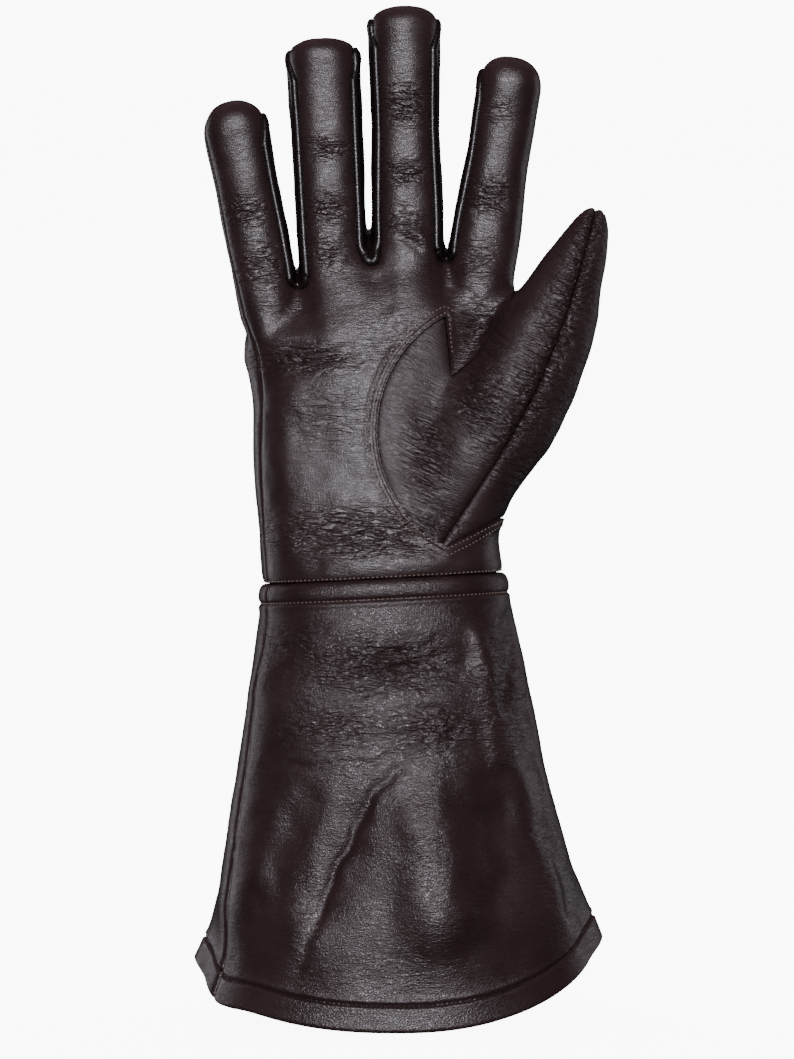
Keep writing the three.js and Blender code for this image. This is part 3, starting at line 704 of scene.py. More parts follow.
def snapped(rows, offset):
    """Free points close to a line at an offset from the seam, moved onto the line."""
    gap = rows[:, DISTANCE] - offset
    near = (np.abs(gap) < SNAP) & (rows[:, HELD] < ON_BORDER)
    rows = rows.copy()
    rows[:, PLACE] -= np.where(near, gap, 0)[:, None] * rows[:, WAY]
    rows[near, DISTANCE] = offset
    return rows


def trimmed(rows, faces, seam):
    """The part of a mesh on the positive side of a seam."""
    rows = snapped(measured(rows, seam), 0.0)
    rows, faces, _ = split(rows, faces, rows[:, DISTANCE])
    on_seam = np.abs(rows[:, DISTANCE]) < 1e-6
    rows, faces = compact(rows, faces[~on_seam[faces].all(1)])
    rows[np.abs(rows[:, DISTANCE]) < 1e-6, HELD] = 1.0
    return rows, faces


THIN = 0.12  # edges and triangles thinner than this are closed up


def tidied(rows, faces):
    """A mesh without the hair-thin triangles that cuts leave."""
    mesh = bpy.data.meshes.new("tidied")
    fill_mesh(mesh, rows[:, PLACE], [faces])
    mesh.attributes.new("outward", "FLOAT_VECTOR", "POINT").data.foreach_set(
        "vector", rows[:, NORMAL].astype(np.float32).ravel())
    work = bmesh.new()
    work.from_mesh(mesh)
    bmesh.ops.dissolve_degenerate(work, dist=THIN, edges=work.edges[:])
    bmesh.ops.triangulate(work, faces=[face for face in work.faces if len(face.verts) > 3])
    work.to_mesh(mesh)
    work.free()
    count = len(mesh.vertices)
    places, normals = np.zeros(3 * count, np.float32), np.zeros(3 * count, np.float32)
    mesh.vertices.foreach_get("co", places)
    mesh.attributes["outward"].data.foreach_get("vector", normals)
    corners = np.zeros(len(mesh.loops), np.int32)
    mesh.loops.foreach_get("vertex_index", corners)
    bpy.data.meshes.remove(mesh)
    rows = np.column_stack([places.reshape(-1, 3), unit(normals.reshape(-1, 3)),
                            np.zeros(count)])
    return largest(rows.astype(float), corners.reshape(-1, 3).astype(np.int64))


def fill_mesh(mesh, points, kinds_of_faces):
    """Points and faces put into an empty mesh; each array holds faces of one number of sides."""
    corners = np.concatenate([faces.ravel() for faces in kinds_of_faces]).astype(np.int32)
    sides = np.concatenate([np.full(len(f), f.shape[1], np.int32) for f in kinds_of_faces])
    mesh.vertices.add(len(points))
    mesh.vertices.foreach_set("co", points.astype(np.float32).ravel())
    mesh.loops.add(len(corners))
    mesh.loops.foreach_set("vertex_index", corners)
    mesh.polygons.add(len(sides))
    mesh.polygons.foreach_set("loop_start", (np.cumsum(sides) - sides).astype(np.int32))
    mesh.polygons.foreach_set("loop_total", sides)
    mesh.update(calc_edges=True)
    mesh.validate()


def scored(rows, faces, seam):
    """A mesh with more points along lines beside a seam, where its leather bends."""
    rows = measured(rows, seam)
    for offset in SCORES:
        rows = snapped(rows, offset)
        rows, up, down = split(rows, faces, rows[:, DISTANCE] - offset)
        faces = np.concatenate([up, down])
    return compact(rows, faces)


def contour(rows, faces, distance):
    """Lines on a mesh where a distance is zero, as ordered arrays of rows."""
    value = np.where(distance == 0, 1e-9, distance)
    above = value[faces] > 0
    part = faces[(above.any(1)) & (~above.all(1))]
    ends = []
    for i in range(3):
        a, b = part[:, i], part[:, (i + 1) % 3]
        cross = (value[a] > 0) != (value[b] > 0)
        ends.append(np.where(cross, np.minimum(a, b) * len(rows) + np.maximum(a, b), -1))
    ends = np.sort(np.stack(ends, 1), axis=1)[:, 1:]
    beside = {}
    for one, two in ends.tolist():
        beside.setdefault(one, []).append(two)
        beside.setdefault(two, []).append(one)
    lines = []
    starts = [key for key, others in beside.items() if len(others) == 1] + list(beside)
    done = set()
    for key in starts:
        if key in done:
            continue
        chain = [key]
        done.add(key)
        while True:
            free = [other for other in beside[chain[-1]] if other not in done]
            if not free:
                break
            chain.append(free[0])
            done.add(free[0])
        keys = np.array(chain)
        a, b = keys // len(rows), keys % len(rows)
        t = (value[a] / (value[a] - value[b]))[:, None]
        lines.append(rows[a] + t * (rows[b] - rows[a]))
    return lines


def largest(rows, faces):
    """The largest connected part of a mesh."""
    label = np.arange(len(rows))
    while True:
        low = label[faces].min(1)
        new = label.copy()
        np.minimum.at(new, faces.ravel(), np.repeat(low, 3))
        new = new[new]
        if (new == label).all():
            break
        label = new
    names, count = np.unique(label[faces[:, 0]], return_counts=True)
    return compact(rows, faces[label[faces[:, 0]] == names[count.argmax()]])


# Noise for creases and folds


def noise(points, seed):
    """Smooth random values round zero, one for each point."""
    base = np.floor(points).astype(np.int64)
    part = points - base
    fade = part ** 3 * (part * (part * 6 - 15) + 10)
    total = np.zeros(len(points))
    for i in (0, 1):
        for j in (0, 1):
            for k in (0, 1):
                at = base + (i, j, k)
                h = (at[:, 0] * 73856093) ^ (at[:, 1] * 19349663) ^ (at[:, 2] * 83492791)
                h = (h ^ (seed * 2654435761)) & 0x7FFFFFFF
                h = ((h ^ (h >> 15)) * 73244475) & 0x7FFFFFFF
                h = ((h ^ (h >> 15)) * 73244475) & 0x7FFFFFFF
                h ^= h >> 16
                way = np.stack([(h & 1023), (h >> 10) & 1023, (h >> 20) & 1023], 1) / 511.5 - 1
                weight = np.abs((1 - i) - fade[:, 0]) * np.abs((1 - j) - fade[:, 1])
                weight = weight * np.abs((1 - k) - fade[:, 2])
                total += weight * (way * (part - (i, j, k))).sum(1)
    return total


def crease_lines(points, seed, breadth=0.09):
    """0 to 1: thin meandering lines, as where leather has been folded."""
    return hump(noise(points, seed) / breadth)


def seen(points):
    """Where points appear in the photograph's frame."""
    far = 1000.0 / (points[:, 1] - CAMERA_PLACE[1])
    px = PICTURE_MIDDLE[0] + PICTURE_SCALE * (points[:, 0] - CAMERA_PLACE[0]) * far
    py = PICTURE_MIDDLE[1] - PICTURE_SCALE * (points[:, 2] - CAMERA_PLACE[2]) * far
    return np.stack([px, py], 1)


def patch_strength(patches, at, facing):
    total = np.zeros(len(at))
    for x, y, across, down, strength in patches:
        spread = ((at[:, 0] - x) / across) ** 2 + ((at[:, 1] - y) / down) ** 2
        total = np.maximum(total, strength * np.exp(-spread))
    return total * facing


WANDER = 7.0  # picture points
WANDER_SPAN = 9.0
WANDER_SEEDS = (31, 32)
SHARP_FOLD = 3  # narrower folds fade out towards their ends
FADE_LENGTH = 0.35  # share of a fold's length
FADE_REST = 0.25


def fold_rise(folds, points, facing):
    """Rise of the drawn folds, whose lines wander a little from the straight."""
    at = seen(points) + WANDER * np.stack(
        [noise(points / WANDER_SPAN, seed) for seed in WANDER_SEEDS], 1)
    total = np.zeros(len(at))
    for breadth, rise, *line in folds:
        line = np.array(line, float)
        steps = np.diff(line, axis=0)
        lengths = np.linalg.norm(steps, axis=1)
        start = np.concatenate([[0], np.cumsum(lengths)])
        nearest = np.full(len(at), np.inf)
        place = np.zeros(len(at))
        for i, step in enumerate(steps):
            t = np.clip(((at - line[i]) @ step) / lengths[i] ** 2, 0, 1)
            gap = np.linalg.norm(at - line[i] - t[:, None] * step, axis=1)
            closer = gap < nearest
            nearest = np.where(closer, gap, nearest)
            place = np.where(closer, start[i] + t * lengths[i], place)
        ends = np.minimum(place, start[-1] - place) / (FADE_LENGTH * start[-1])
        fade = FADE_REST + (1 - FADE_REST) * ramp(ends, 0, 1) if breadth < SHARP_FOLD else 1
        total += rise * fade * hump(nearest / PICTURE_SCALE / breadth)
    return total * facing


# How the leather lies: coordinates that turn with fingers and thumb


LIE_TURN = (-12, 18)  # heights over the palm between which the lie turns to a finger's


def lie_of_hand(points):
    """Across, deep and along coordinates of the hand's leather, in millimetres."""
    lie = points
    nearest = np.full(len(points), np.inf)
    weight = ramp(points[:, 2] - PALM_LENGTH, *LIE_TURN)
    for i, finger in enumerate(fingers):
        along, across, _ = on_finger(finger, points)
        near = np.abs(points[:, 0] - finger_line(i, points))
        turned = np.stack([across + finger["x"], points[:, 1], along + PALM_LENGTH], 1)
        mixed = points + (turned - points) * weight[:, None]
        lie = np.where((near < nearest)[:, None], mixed, lie)
        nearest = np.minimum(nearest, near)
    return lie


def lie_of_thumb(points):
    along, across = on_thumb(points)
    return np.stack([across, points[:, 1], along * THUMB_LENGTH], 1)


# Leather standing out from the plain form


# How deep a leather's edge is rolled into its seam, and how widely, in millimetres
ROLLS = dict(panel=(0.8, 0.95), strip=(0.6, 0.95), thumb=(1.3, 1.3), wrist=(1.1, 1.4),
             cuff=(1.0, 1.0))
LIP = dict(rise=0.75, middle=1.8, breadth=1.5, groove=0.7, groove_breadth=0.6)
CRESCENT_ROWS = (1.2, 3.4)  # distances of the crescent's rows of thread from its seam
QUILT = dict(rise=0.55, fall=(3.2, 5.2), groove=0.35, breadths=(0.45, 0.5))
THUMB_EDGE_ROLL = (0.55, 1.2)
THUMB_BACK = 4.0  # y behind which the thumb's edge lies flat
WEB = dict(across=(446, 458), down=(372, 400))  # picture points
GATHERS = dict(breadth=7.0, start=(20, 45), strength=1.8)
CALM = (0.5, 3.0)  # distances from a front seam between which the leather gets uneven
LEAST_CREASED = dict(hand=0.06, cuff=0.1)
FACING = (0.0, 0.45)

# Unevenness: span, height and seed of each swell, then stretch, weight and seed of the lines
HAND_NOISE = dict(swells=((15.0, 0.9, 3), (7.0, 0.4, 4)), share=0.55, depth=0.42,
                  lines=(((0.07, 0.09, 0.3), 1.0, 5), ((0.1, 0.14, 0.5), 0.7, 6)))
CUFF_NOISE = dict(swells=((24.0, 1.5, 13), (9.0, 0.6, 14)), share=0.6, depth=0.45,
                  lines=(((0.09, 0.2, 0.26), 1.0, 15), ((0.16, 0.2, 0.4), 0.7, 16)))


def rolled(distance, kind):
    """A leather's edge turned down into its seam."""
    depth, breadth = ROLLS[kind]
    return -depth * np.exp(-np.abs(distance) / breadth)


def beside_web(points):
    """1 on the palm's short edge from the notch up to the thumb's web, else 0."""
    at = seen(points)
    return ramp(at[:, 0], *WEB["across"]) * (1 - ramp(at[:, 1], *WEB["down"]))


def lip(distance):
    """The rolled lip of a strip between fingers."""
    rise = LIP["rise"] * hump((distance - LIP["middle"]) / LIP["breadth"])
    return rise - LIP["groove"] * hump(distance / LIP["groove_breadth"])


def quilted(edge):
    """The palm's edge by the thumb, raised between its rows of thread."""
    rise = QUILT["rise"] * (1 - ramp(edge, *QUILT["fall"]))
    for row, breadth in zip(CRESCENT_ROWS, QUILT["breadths"]):
        rise -= QUILT["groove"] * hump((edge - row) / breadth)
    return rise


def uneven(kind, points, lie, strength):
    """Swells and fine lines that have no place of their own."""
    swells = sum(noise(points / span, seed) * height for span, height, seed in kind["swells"])
    lines = sum(weight * crease_lines(lie * stretch, seed)
                for stretch, weight, seed in kind["lines"])
    return kind["share"] * swells - kind["depth"] * lines * strength


def lie_of(piece, points):
    return lie_of_thumb(points) if piece.startswith("thumb") else lie_of_hand(points)


def hand_lift(piece, points, normals):
    """How far a piece's leather stands out from the plain form, and its crease strength."""
    front, _ = along_surface(front_side, points, normals)
    back, _ = along_surface(back_side, points, normals)
    thumb, _ = along_surface(thumb_side, points, normals)
    lie = lie_of(piece, points)
    facing = ramp(-normals[:, 1], *FACING)
    strength = patch_strength(HAND_PATCHES, seen(points), facing)
    lift = rolled(wrist_side(points), "wrist")
    if piece == "palm":
        lift += rolled(front, "panel")
    elif piece == "back":
        lift += rolled(back, "panel")
    elif piece.startswith("fourchette"):
        lift += lip(-front) + rolled(back, "strip")
    if piece.startswith("thumb"):
        seam, _ = along_surface(thumb_seam_side, points, normals)
        depth, breadth = THUMB_EDGE_ROLL
        edge = -depth * np.exp(-np.abs(thumb) / breadth)
        lift += rolled(seam, "thumb")
        gathers = np.exp(-np.abs(seam) / GATHERS["breadth"]) * ramp(lie[:, 2], *GATHERS["start"])
        strength = np.maximum(strength, GATHERS["strength"] * gathers)
    else:
        edge = quilted(np.abs(thumb)) * (1 - beside_web(points))
    lift += np.where(points[:, 1] < THUMB_BACK, edge, 0)
    strength = np.maximum(strength, LEAST_CREASED["hand"])
    lift += fold_rise(HAND_FOLDS, points, facing)
    lift += ramp(np.abs(front), *CALM) * uneven(HAND_NOISE, points, lie, strength)
    return lift, strength


# Piece meshes


SHARP_ANGLE = math.radians(55)


def leather_mesh(name, points, normals, faces, lie, strength, wall, slot):
    """A leather piece as a closed shell with its wall, a thickness for each point."""
    count = len(points)
    sides = faces.shape[1]
    ends = np.concatenate([faces[:, [i, (i + 1) % sides]] for i in range(sides)])
    _, first, number = np.unique(
        np.sort(ends, axis=1), axis=0, return_index=True, return_counts=True)
    a, b = ends[first[number == 1]].T
    rim = np.stack([b, a, a + count, b + count], 1)
    inner = points - normals * np.reshape(wall, (-1, 1))
    mesh = bpy.data.meshes.new(name)
    fill_mesh(mesh, np.concatenate([points, inner]) * METRE,
              [faces, faces[:, ::-1] + count, rim])
    mesh.shade_smooth()
    store = mesh.attributes.new("lie", "FLOAT_VECTOR", "POINT")
    store.data.foreach_set("vector", np.tile(lie, (2, 1)).astype(np.float32).ravel())
    store = mesh.attributes.new("creased", "FLOAT", "POINT")
    store.data.foreach_set("value", np.tile(strength, 2).astype(np.float32))
    mesh.set_sharp_from_angle(angle=SHARP_ANGLE)
    mesh.materials.append(material_for(slot.removesuffix("_leather")))
    made = bpy.data.objects.new(name + "_leather", mesh)
    bpy.context.scene.collection.objects.link(made)
    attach(made, "root")
    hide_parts(name)


def plain_copy(obj, name):
    """The evaluated object as a plain mesh object with a name of its own."""
    graph = bpy.context.evaluated_depsgraph_get()
    mesh = bpy.data.meshes.new_from_object(obj.evaluated_get(graph))
    bpy.data.objects.remove(obj)
    made = bpy.data.objects.new(name, mesh)
    bpy.context.scene.collection.objects.link(made)
    return made


# Stitches

STITCH_RISE = 0.12  # millimetres the middle of a stitch stands above the leather
WRIST_ROW = 0.6  # distances of rows of thread from their seams
STRIP_ROW = 0.55
THUMB_ROW = 0.6
LOWEST_STRIP_STITCH = 96.0
FEWEST_POINTS = 8  # shorter lines get no stitches
STITCH_LINES = {}  # name of a stitch piece: its lines, each of places and outward directions


def stitch_lines(piece, rows, faces, lift):
    """The lines of thread on a piece of the hand: name, then rows of place and normal."""
    def beside_crescent(line):
        return (line[:, 1] < 0) & (beside_web(line[:, PLACE]) < 0.5)

    def above_palm(line):
        return line[:, 2] > LOWEST_STRIP_STITCH

    table = [
        ("seam_stitches", "palm", lambda p: -thumb_side(p), CRESCENT_ROWS[0], beside_crescent),
        ("seam_stitches", "palm", lambda p: -thumb_side(p), CRESCENT_ROWS[1], beside_crescent),
        ("seam_stitches", "palm", wrist_side, WRIST_ROW, None),
        ("seam_stitches", "back", wrist_side, WRIST_ROW, None),
        ("fine_stitches", "palm", front_side, STRIP_ROW, above_palm),
        ("fine_stitches", "back", back_side, STRIP_ROW, above_palm),
        ("fine_stitches", "thumb_inner_panel", thumb_seam_side, THUMB_ROW, None),
    ]
    for name, owner, seam, offset, wanted in table:
        if owner != piece:
            continue
        work = measured(rows, seam)
        lifted = np.column_stack([work, lift])
        for line in contour(lifted, faces, work[:, DISTANCE] - offset):
            out = unit(line[:, NORMAL])
            keep = np.ones(len(line), bool) if wanted is None else wanted(line)
            for part in runs(keep):
                place = line[part, :3] + out[part] * (line[part, -1:] + STITCH_RISE)
                if len(place) > FEWEST_POINTS:
                    yield name, np.column_stack([smoothed(place), out[part]])


def runs(keep):
    """Slices of the stretches where keep holds."""
    edges = np.flatnonzero(np.diff(np.concatenate([[0], keep.astype(int), [0]])))
    return [slice(a, b) for a, b in zip(edges[::2], edges[1::2])]


def smoothed(places, rounds=2):
    for _ in range(rounds):
        places = places.copy()
        places[1:-1] = (places[:-2] + 2 * places[1:-1] + places[2:]) / 4
    return places


def add_node(tree, kind, inputs=None, **settings):
    """A new node with its settings, whose inputs are linked to sockets or given values."""
    made = tree.nodes.new(kind)
    for name, value in settings.items():
        setattr(made, name, value)
    for key, value in (inputs or {}).items():
        if isinstance(value, bpy.types.NodeSocket):
            tree.links.new(value, made.inputs[key])
        else:
            made.inputs[key].default_value = value
    return made


def stitch_tree():
    """Geometry nodes that lay stitches along lines, with named inputs for their sizes."""
    tree = bpy.data.node_groups.new("stitches_along_lines", "GeometryNodeTree")
    sockets = dict(Geometry="Geometry", Spacing="Float", Length="Float", Thickness="Float",
                   Thread="Material")
    for name, kind in sockets.items():
        tree.interface.new_socket(name, in_out="INPUT", socket_type="NodeSocket" + kind)
    tree.interface.new_socket("Geometry", in_out="OUTPUT", socket_type="NodeSocketGeometry")

    def node(kind, inputs=None, **settings):
        return add_node(tree, kind, inputs, **settings).outputs

    given = node("NodeGroupInput")
    curve = node("GeometryNodeMeshToCurve", {"Mesh": given["Geometry"]})
    even = node("GeometryNodeResampleCurve",
                {"Curve": curve["Curve"], "Length": given["Spacing"]}, mode="LENGTH")
    bead = node("GeometryNodeMeshUVSphere", {"Segments": 6, "Rings": 4, "Radius": 0.5})
    size = node("ShaderNodeCombineXYZ",
                {"X": given["Length"], "Y": given["Thickness"], "Z": given["Thickness"]})
    tangent = node("GeometryNodeInputTangent")
    out = node("GeometryNodeInputNamedAttribute", {"Name": "out"}, data_type="FLOAT_VECTOR")
    forward = node("FunctionNodeAlignRotationToVector", {"Vector": tangent["Tangent"]}, axis="X")
    upright = node("FunctionNodeAlignRotationToVector",
                   {"Rotation": forward["Rotation"], "Vector": out["Attribute"]},
                   axis="Z", pivot_axis="X")
    laid = node("GeometryNodeInstanceOnPoints",
                {"Points": even["Curve"], "Instance": bead["Mesh"],
                 "Rotation": upright["Rotation"], "Scale": size["Vector"]})
    real = node("GeometryNodeRealizeInstances", {"Geometry": laid["Instances"]})
    smooth = node("GeometryNodeSetShadeSmooth", {"Geometry": real["Geometry"]})
    thread = node("GeometryNodeSetMaterial",
                  {"Geometry": smooth["Geometry"], "Material": given["Thread"]})
    node("NodeGroupOutput", {"Geometry": thread["Geometry"]})
    return tree


def stitch_piece(name, lines, tree, values, slot):
    """One piece with all stitches of a kind, laid along its lines."""
    mesh = bpy.data.meshes.new(name)
    places = np.concatenate([line[:, :3] for line in lines]) * METRE
    out = np.concatenate([line[:, 3:] for line in lines])
    edges, first = [], 0
    for line in lines:
        edges += [(i, i + 1) for i in range(first, first + len(line) - 1)]
        first += len(line)
    mesh.from_pydata(places.tolist(), edges, [])
    mesh.attributes.new("out", "FLOAT_VECTOR", "POINT").data.foreach_set(
        "vector", out.astype(np.float32).ravel())
    obj = bpy.data.objects.new(name, mesh)
    bpy.context.scene.collection.objects.link(obj)
    layer = obj.modifiers.new("stitches", "NODES")
    layer.node_group = tree
    for socket in tree.interface.items_tree:
        if socket.in_out == "INPUT" and socket.name in values:
            layer[socket.identifier] = values[socket.name]
    made = plain_copy(obj, name)
    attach(made, "root")


# Materials


# Textures of the leather: stretch along the lie, in repeats per millimetre across, deep and
# along, detail, how narrow the lines are, and seed.
LONG_LINES = dict(scale=(0.11, 0.14, 0.5), detail=2.0, narrow=10.0, seed=1.0)
FINE_LINES = dict(scale=(0.24, 0.28, 0.9), detail=1.0, narrow=8.0, seed=7.0)
LINE_POWER = 1.6
LINE_DISTORTION = 0.3
GRAIN = dict(scale=(1.1, 1.1, 1.4), narrow=5.0)
CLOUD = dict(scale=(0.06, 0.06, 0.06), detail=3.0, contrast=1.6, offset=-0.3)
CREASE_PAINTED_SHADE = 0.5  # how far the painted shade darkens the colour along a fine crease line
CREASE_ROUGHNESS = 0.12
CLOUD_ROUGHNESS = 0.12


def leather_material(name, colours, look):
    """Procedural nappa: creased along the lie of each piece, grained, unevenly coloured, with
    painted shade along its fine creases.
    """
    material = bpy.data.materials.new(name)
    material.use_nodes = True
    tree = material.node_tree
    tree.nodes.clear()

    def node(kind, inputs=None, **settings):
        return add_node(tree, kind, inputs, **settings).outputs

    def worked(operation, *values, clamp=False):
        """The result of a sum on sockets and values."""
        return node("ShaderNodeMath", dict(enumerate(values)), operation=operation,
                    use_clamp=clamp)[0]

    def stretched(scale):
        return node("ShaderNodeMapping", {"Scale": scale, "Vector": lie})["Vector"]

    def creases(scale, detail, narrow, seed):
        """1 on thin crease lines and 0 between them."""
        texture = node("ShaderNodeTexNoise",
                       {"W": seed, "Scale": 1.0, "Detail": detail,
                        "Distortion": LINE_DISTORTION, "Vector": stretched(scale)},
                       noise_dimensions="4D")
        away = worked("ABSOLUTE", worked("SUBTRACT", texture["Fac"], 0.5))
        line = worked("SUBTRACT", 1.0, worked("MULTIPLY", away, narrow), clamp=True)
        return worked("POWER", line, LINE_POWER)

    lie = node("ShaderNodeAttribute", attribute_name="lie")["Vector"]
    creased = node("ShaderNodeAttribute", attribute_name="creased")["Fac"]
    long_lines = creases(**LONG_LINES)
    fine_lines = creases(**FINE_LINES)
    cells = node("ShaderNodeTexVoronoi", {"Scale": 1.0, "Vector": stretched(GRAIN["scale"])},
                 feature="DISTANCE_TO_EDGE")
    grain = worked("SUBTRACT", 1.0, worked("MULTIPLY", cells["Distance"], GRAIN["narrow"]),
                   clamp=True)
    deep = worked("MULTIPLY", long_lines, worked("MULTIPLY", creased, look["crease"]))
    share = worked("ADD", worked("MULTIPLY", creased, look["fine"]), look["fine_floor"])
    fine = worked("MULTIPLY", fine_lines, share)
    pores = worked("MULTIPLY", grain, look["grain"])
    height = worked("SUBTRACT", 0.0, worked("ADD", worked("ADD", deep, fine), pores))
    bump = node("ShaderNodeBump", {"Strength": 1.0, "Distance": METRE, "Height": height})

    cloud = node("ShaderNodeTexNoise", {"Scale": 1.0, "Detail": CLOUD["detail"],
                                        "Vector": stretched(CLOUD["scale"])})["Fac"]
    light = worked("MULTIPLY_ADD", cloud, CLOUD["contrast"], CLOUD["offset"], clamp=True)
    tone = node("ShaderNodeMix", {"A": (*colours["dark"], 1), "B": (*colours["light"], 1),
                                  "Factor": light}, data_type="RGBA")
    # Painted shade: the colour is darkened along the fine crease lines.
    tinted = worked("MULTIPLY", fine_lines, CREASE_PAINTED_SHADE)
    crease_shaded = node("ShaderNodeMix", {"A": tone["Result"], "B": (*colours["crease"], 1),
                                  "Factor": tinted}, data_type="RGBA", blend_type="MULTIPLY")
    rough = worked("ADD", worked("MULTIPLY", fine_lines, CREASE_ROUGHNESS),
                   worked("MULTIPLY_ADD", cloud, CLOUD_ROUGHNESS, look["roughness"]))
    shader = node("ShaderNodeBsdfPrincipled",
                  {"Metallic": 0.0, "Specular IOR Level": look["specular"],
                   "Base Color": crease_shaded["Result"], "Roughness": rough, "Normal": bump["Normal"]})
    node("ShaderNodeOutputMaterial", {"Surface": shader["BSDF"]})
    return material


PLAIN_SPECULAR = 0.3
SPECKLE_SCALE = 900.0  # repeats per metre
SPECKLE_SHADE = 0.94


def plain_material(name, colour, roughness, glow=0.0):
    """A matt surface with a faint unevenness, for thread, floor and backdrop."""
    material = bpy.data.materials.new(name)
    material.use_nodes = True
    tree = material.node_tree
    place = add_node(tree, "ShaderNodeTexCoord").outputs["Object"]
    texture = add_node(tree, "ShaderNodeTexNoise", {"Scale": SPECKLE_SCALE, "Vector": place})
    mix = add_node(tree, "ShaderNodeMix",
                   {"A": (*(SPECKLE_SHADE * c for c in colour), 1), "B": (*colour, 1),
                    "Factor": texture.outputs["Fac"]}, data_type="RGBA")
    shader = tree.nodes["Principled BSDF"]
    shader.inputs["Roughness"].default_value = roughness
    shader.inputs["Specular IOR Level"].default_value = PLAIN_SPECULAR
    shader.inputs["Emission Color"].default_value = (1, 1, 1, 1)
    shader.inputs["Emission Strength"].default_value = glow
    tree.links.new(mix.outputs["Result"], shader.inputs["Base Color"])
    return material


# Cuff


def cuff_length(c, s):
    """Length of the cuff in a direction given by the cosine and sine of its turn."""
    face = np.abs(s) ** HEM_POWER
    length = CUFF_BACK_LENGTH + (CUFF_FRONT_LENGTH - CUFF_BACK_LENGTH) * (1 - s) / 2
    away = (s - CUFF_SEAMS["little"]) / HEM_CORNER_SPREAD
    corner = np.where(c < 0, HEM_CORNER * np.exp(-away * away), 0)
    return CUFF_SIDE_LENGTH * (1 - face) + length * face - HEM_SLANT * c * np.abs(c) + corner


def cuff_form(turn, down):
    """Points of the cuff's plain form at turns round it and shares down it."""
    c, s = np.cos(turn), np.sin(turn)
    flare = CUFF["flare"](down)
    half = HAND_ROWS[0]["half"] * hand_width * (1 - flare) + HEM_WIDTH / 2 * flare
    deep = HAND_ROWS[0]["front"] * WRIST_DEPTH * (1 - flare) + HEM_DEPTH / 2 * flare
    x = half * np.sign(c) * np.abs(c) ** (2 / CUFF_POWER) + CUFF["shift"](down) * HEM_SHIFT
    y = deep * np.sign(s) * np.abs(s) ** (2 / CUFF_POWER)
    seam = WRIST_TILT * x - 0.15
    return np.stack([x, y, seam - down * (cuff_length(c, s) + seam)], 1)


def cuff_normals(turn, down, step=1e-4):
    round_ = cuff_form(turn + step, down) - cuff_form(turn - step, down)
    down_ = cuff_form(turn, down + step) - cuff_form(turn, np.maximum(down - step, 0))
    return unit(np.cross(down_, round_))


# Bands of the cuff, in millimetres
BAND_STITCH = TOP_BAND - 1.2  # how far under the wrist seam the band's thread runs
BAND_RISE = 0.9
BAND_POWER = 0.7
TOP_EDGE = dict(depth=0.8, breadth=0.7)
HEM_RISE = 0.5
HEM_STEP = (HEM_BAND - 1.0, HEM_BAND + 0.2)
HEM_ROUND = 1.6  # radius of the hem's fold
HEM_TURN = dict(depth=3.6, height=34)  # how the front turns in towards the hem
# Grooves of the thread and the swells beside them: from which edge, where, rise and breadth
CUFF_RIDGES = (
    dict(edge="top", at=BAND_STITCH, rise=-0.45, breadth=0.55),
    dict(edge="top", at=BAND_STITCH + 1.5, rise=0.35, breadth=1.0),
    dict(edge="hem", at=HEM_BAND, rise=-0.55, breadth=0.6),
    dict(edge="hem", at=HEM_BAND + 1.4, rise=0.35, breadth=1.0),
)
CUFF_ROUND = 45  # radius that turns an angle round the cuff into a length
CUFF_FADES = dict(top=(TOP_BAND - 1, TOP_BAND + 8), hem=(1, HEM_BAND + 6))


def cuff_lift(turn, down, points, normals, ends):
    """How far the cuff's leather stands out, and its crease strength."""
    length = cuff_length(np.cos(turn), np.sin(turn))
    edges = dict(top=down * length, hem=(1 - down) * length)
    top, hem = edges["top"], edges["hem"]
    band = BAND_RISE * np.sin(math.pi * np.clip(top / BAND_STITCH, 0, 1)) ** BAND_POWER
    lift = np.where(top < BAND_STITCH, band, 0)
    lift -= TOP_EDGE["depth"] * np.exp(-top / TOP_EDGE["breadth"])
    lift += HEM_RISE * (1 - ramp(hem, *HEM_STEP))
    for ridge in CUFF_RIDGES:
        lift += ridge["rise"] * hump((edges[ridge["edge"]] - ridge["at"]) / ridge["breadth"])
    inward = 1 - np.clip(hem / HEM_ROUND, 0, 1)
    lift -= HEM_ROUND * (1 - np.sqrt(np.clip(1 - inward ** 2, 0, 1)))
    facing = ramp(-normals[:, 1], *FACING)
    strength = patch_strength(CUFF_PATCHES, seen(points), facing)
    strength = np.maximum(strength, LEAST_CREASED["cuff"])
    fade = ramp(top, *CUFF_FADES["top"]) * ramp(hem, *CUFF_FADES["hem"])
    angle = np.arctan2(points[:, 1], points[:, 0])
    lie = np.stack([angle * CUFF_ROUND, normals[:, 1], points[:, 2]], 1)
    lift += fade * (fold_rise(CUFF_FOLDS, points, facing)
                    + uneven(CUFF_NOISE, points, lie, strength))
    lift += rolled(ends, "cuff")
    lift -= HEM_TURN["depth"] * facing * (1 - ramp(hem, 0, HEM_TURN["height"]))
    return lift, strength * fade, lie


def cuff_shares(top, middle, hem):
    """Shares down the cuff, close together in the top band and in the hem."""
    band_end = (TOP_BAND + 2) / CUFF_FRONT_LENGTH
    hem_start = 1 - (HEM_BAND + 3) / CUFF_FRONT_LENGTH
    return np.concatenate([
        np.linspace(0, band_end, top, endpoint=False),
        np.linspace(band_end, hem_start, middle, endpoint=False),
        np.linspace(hem_start, 1, hem)])


COLUMN_EASE = 0.012  # how much closer columns of points lie near the seams
FAR = 20.0  # a distance at which a seam has no effect
CUFF_WALL = 1.6
DOUBLED_WALL = 2.6


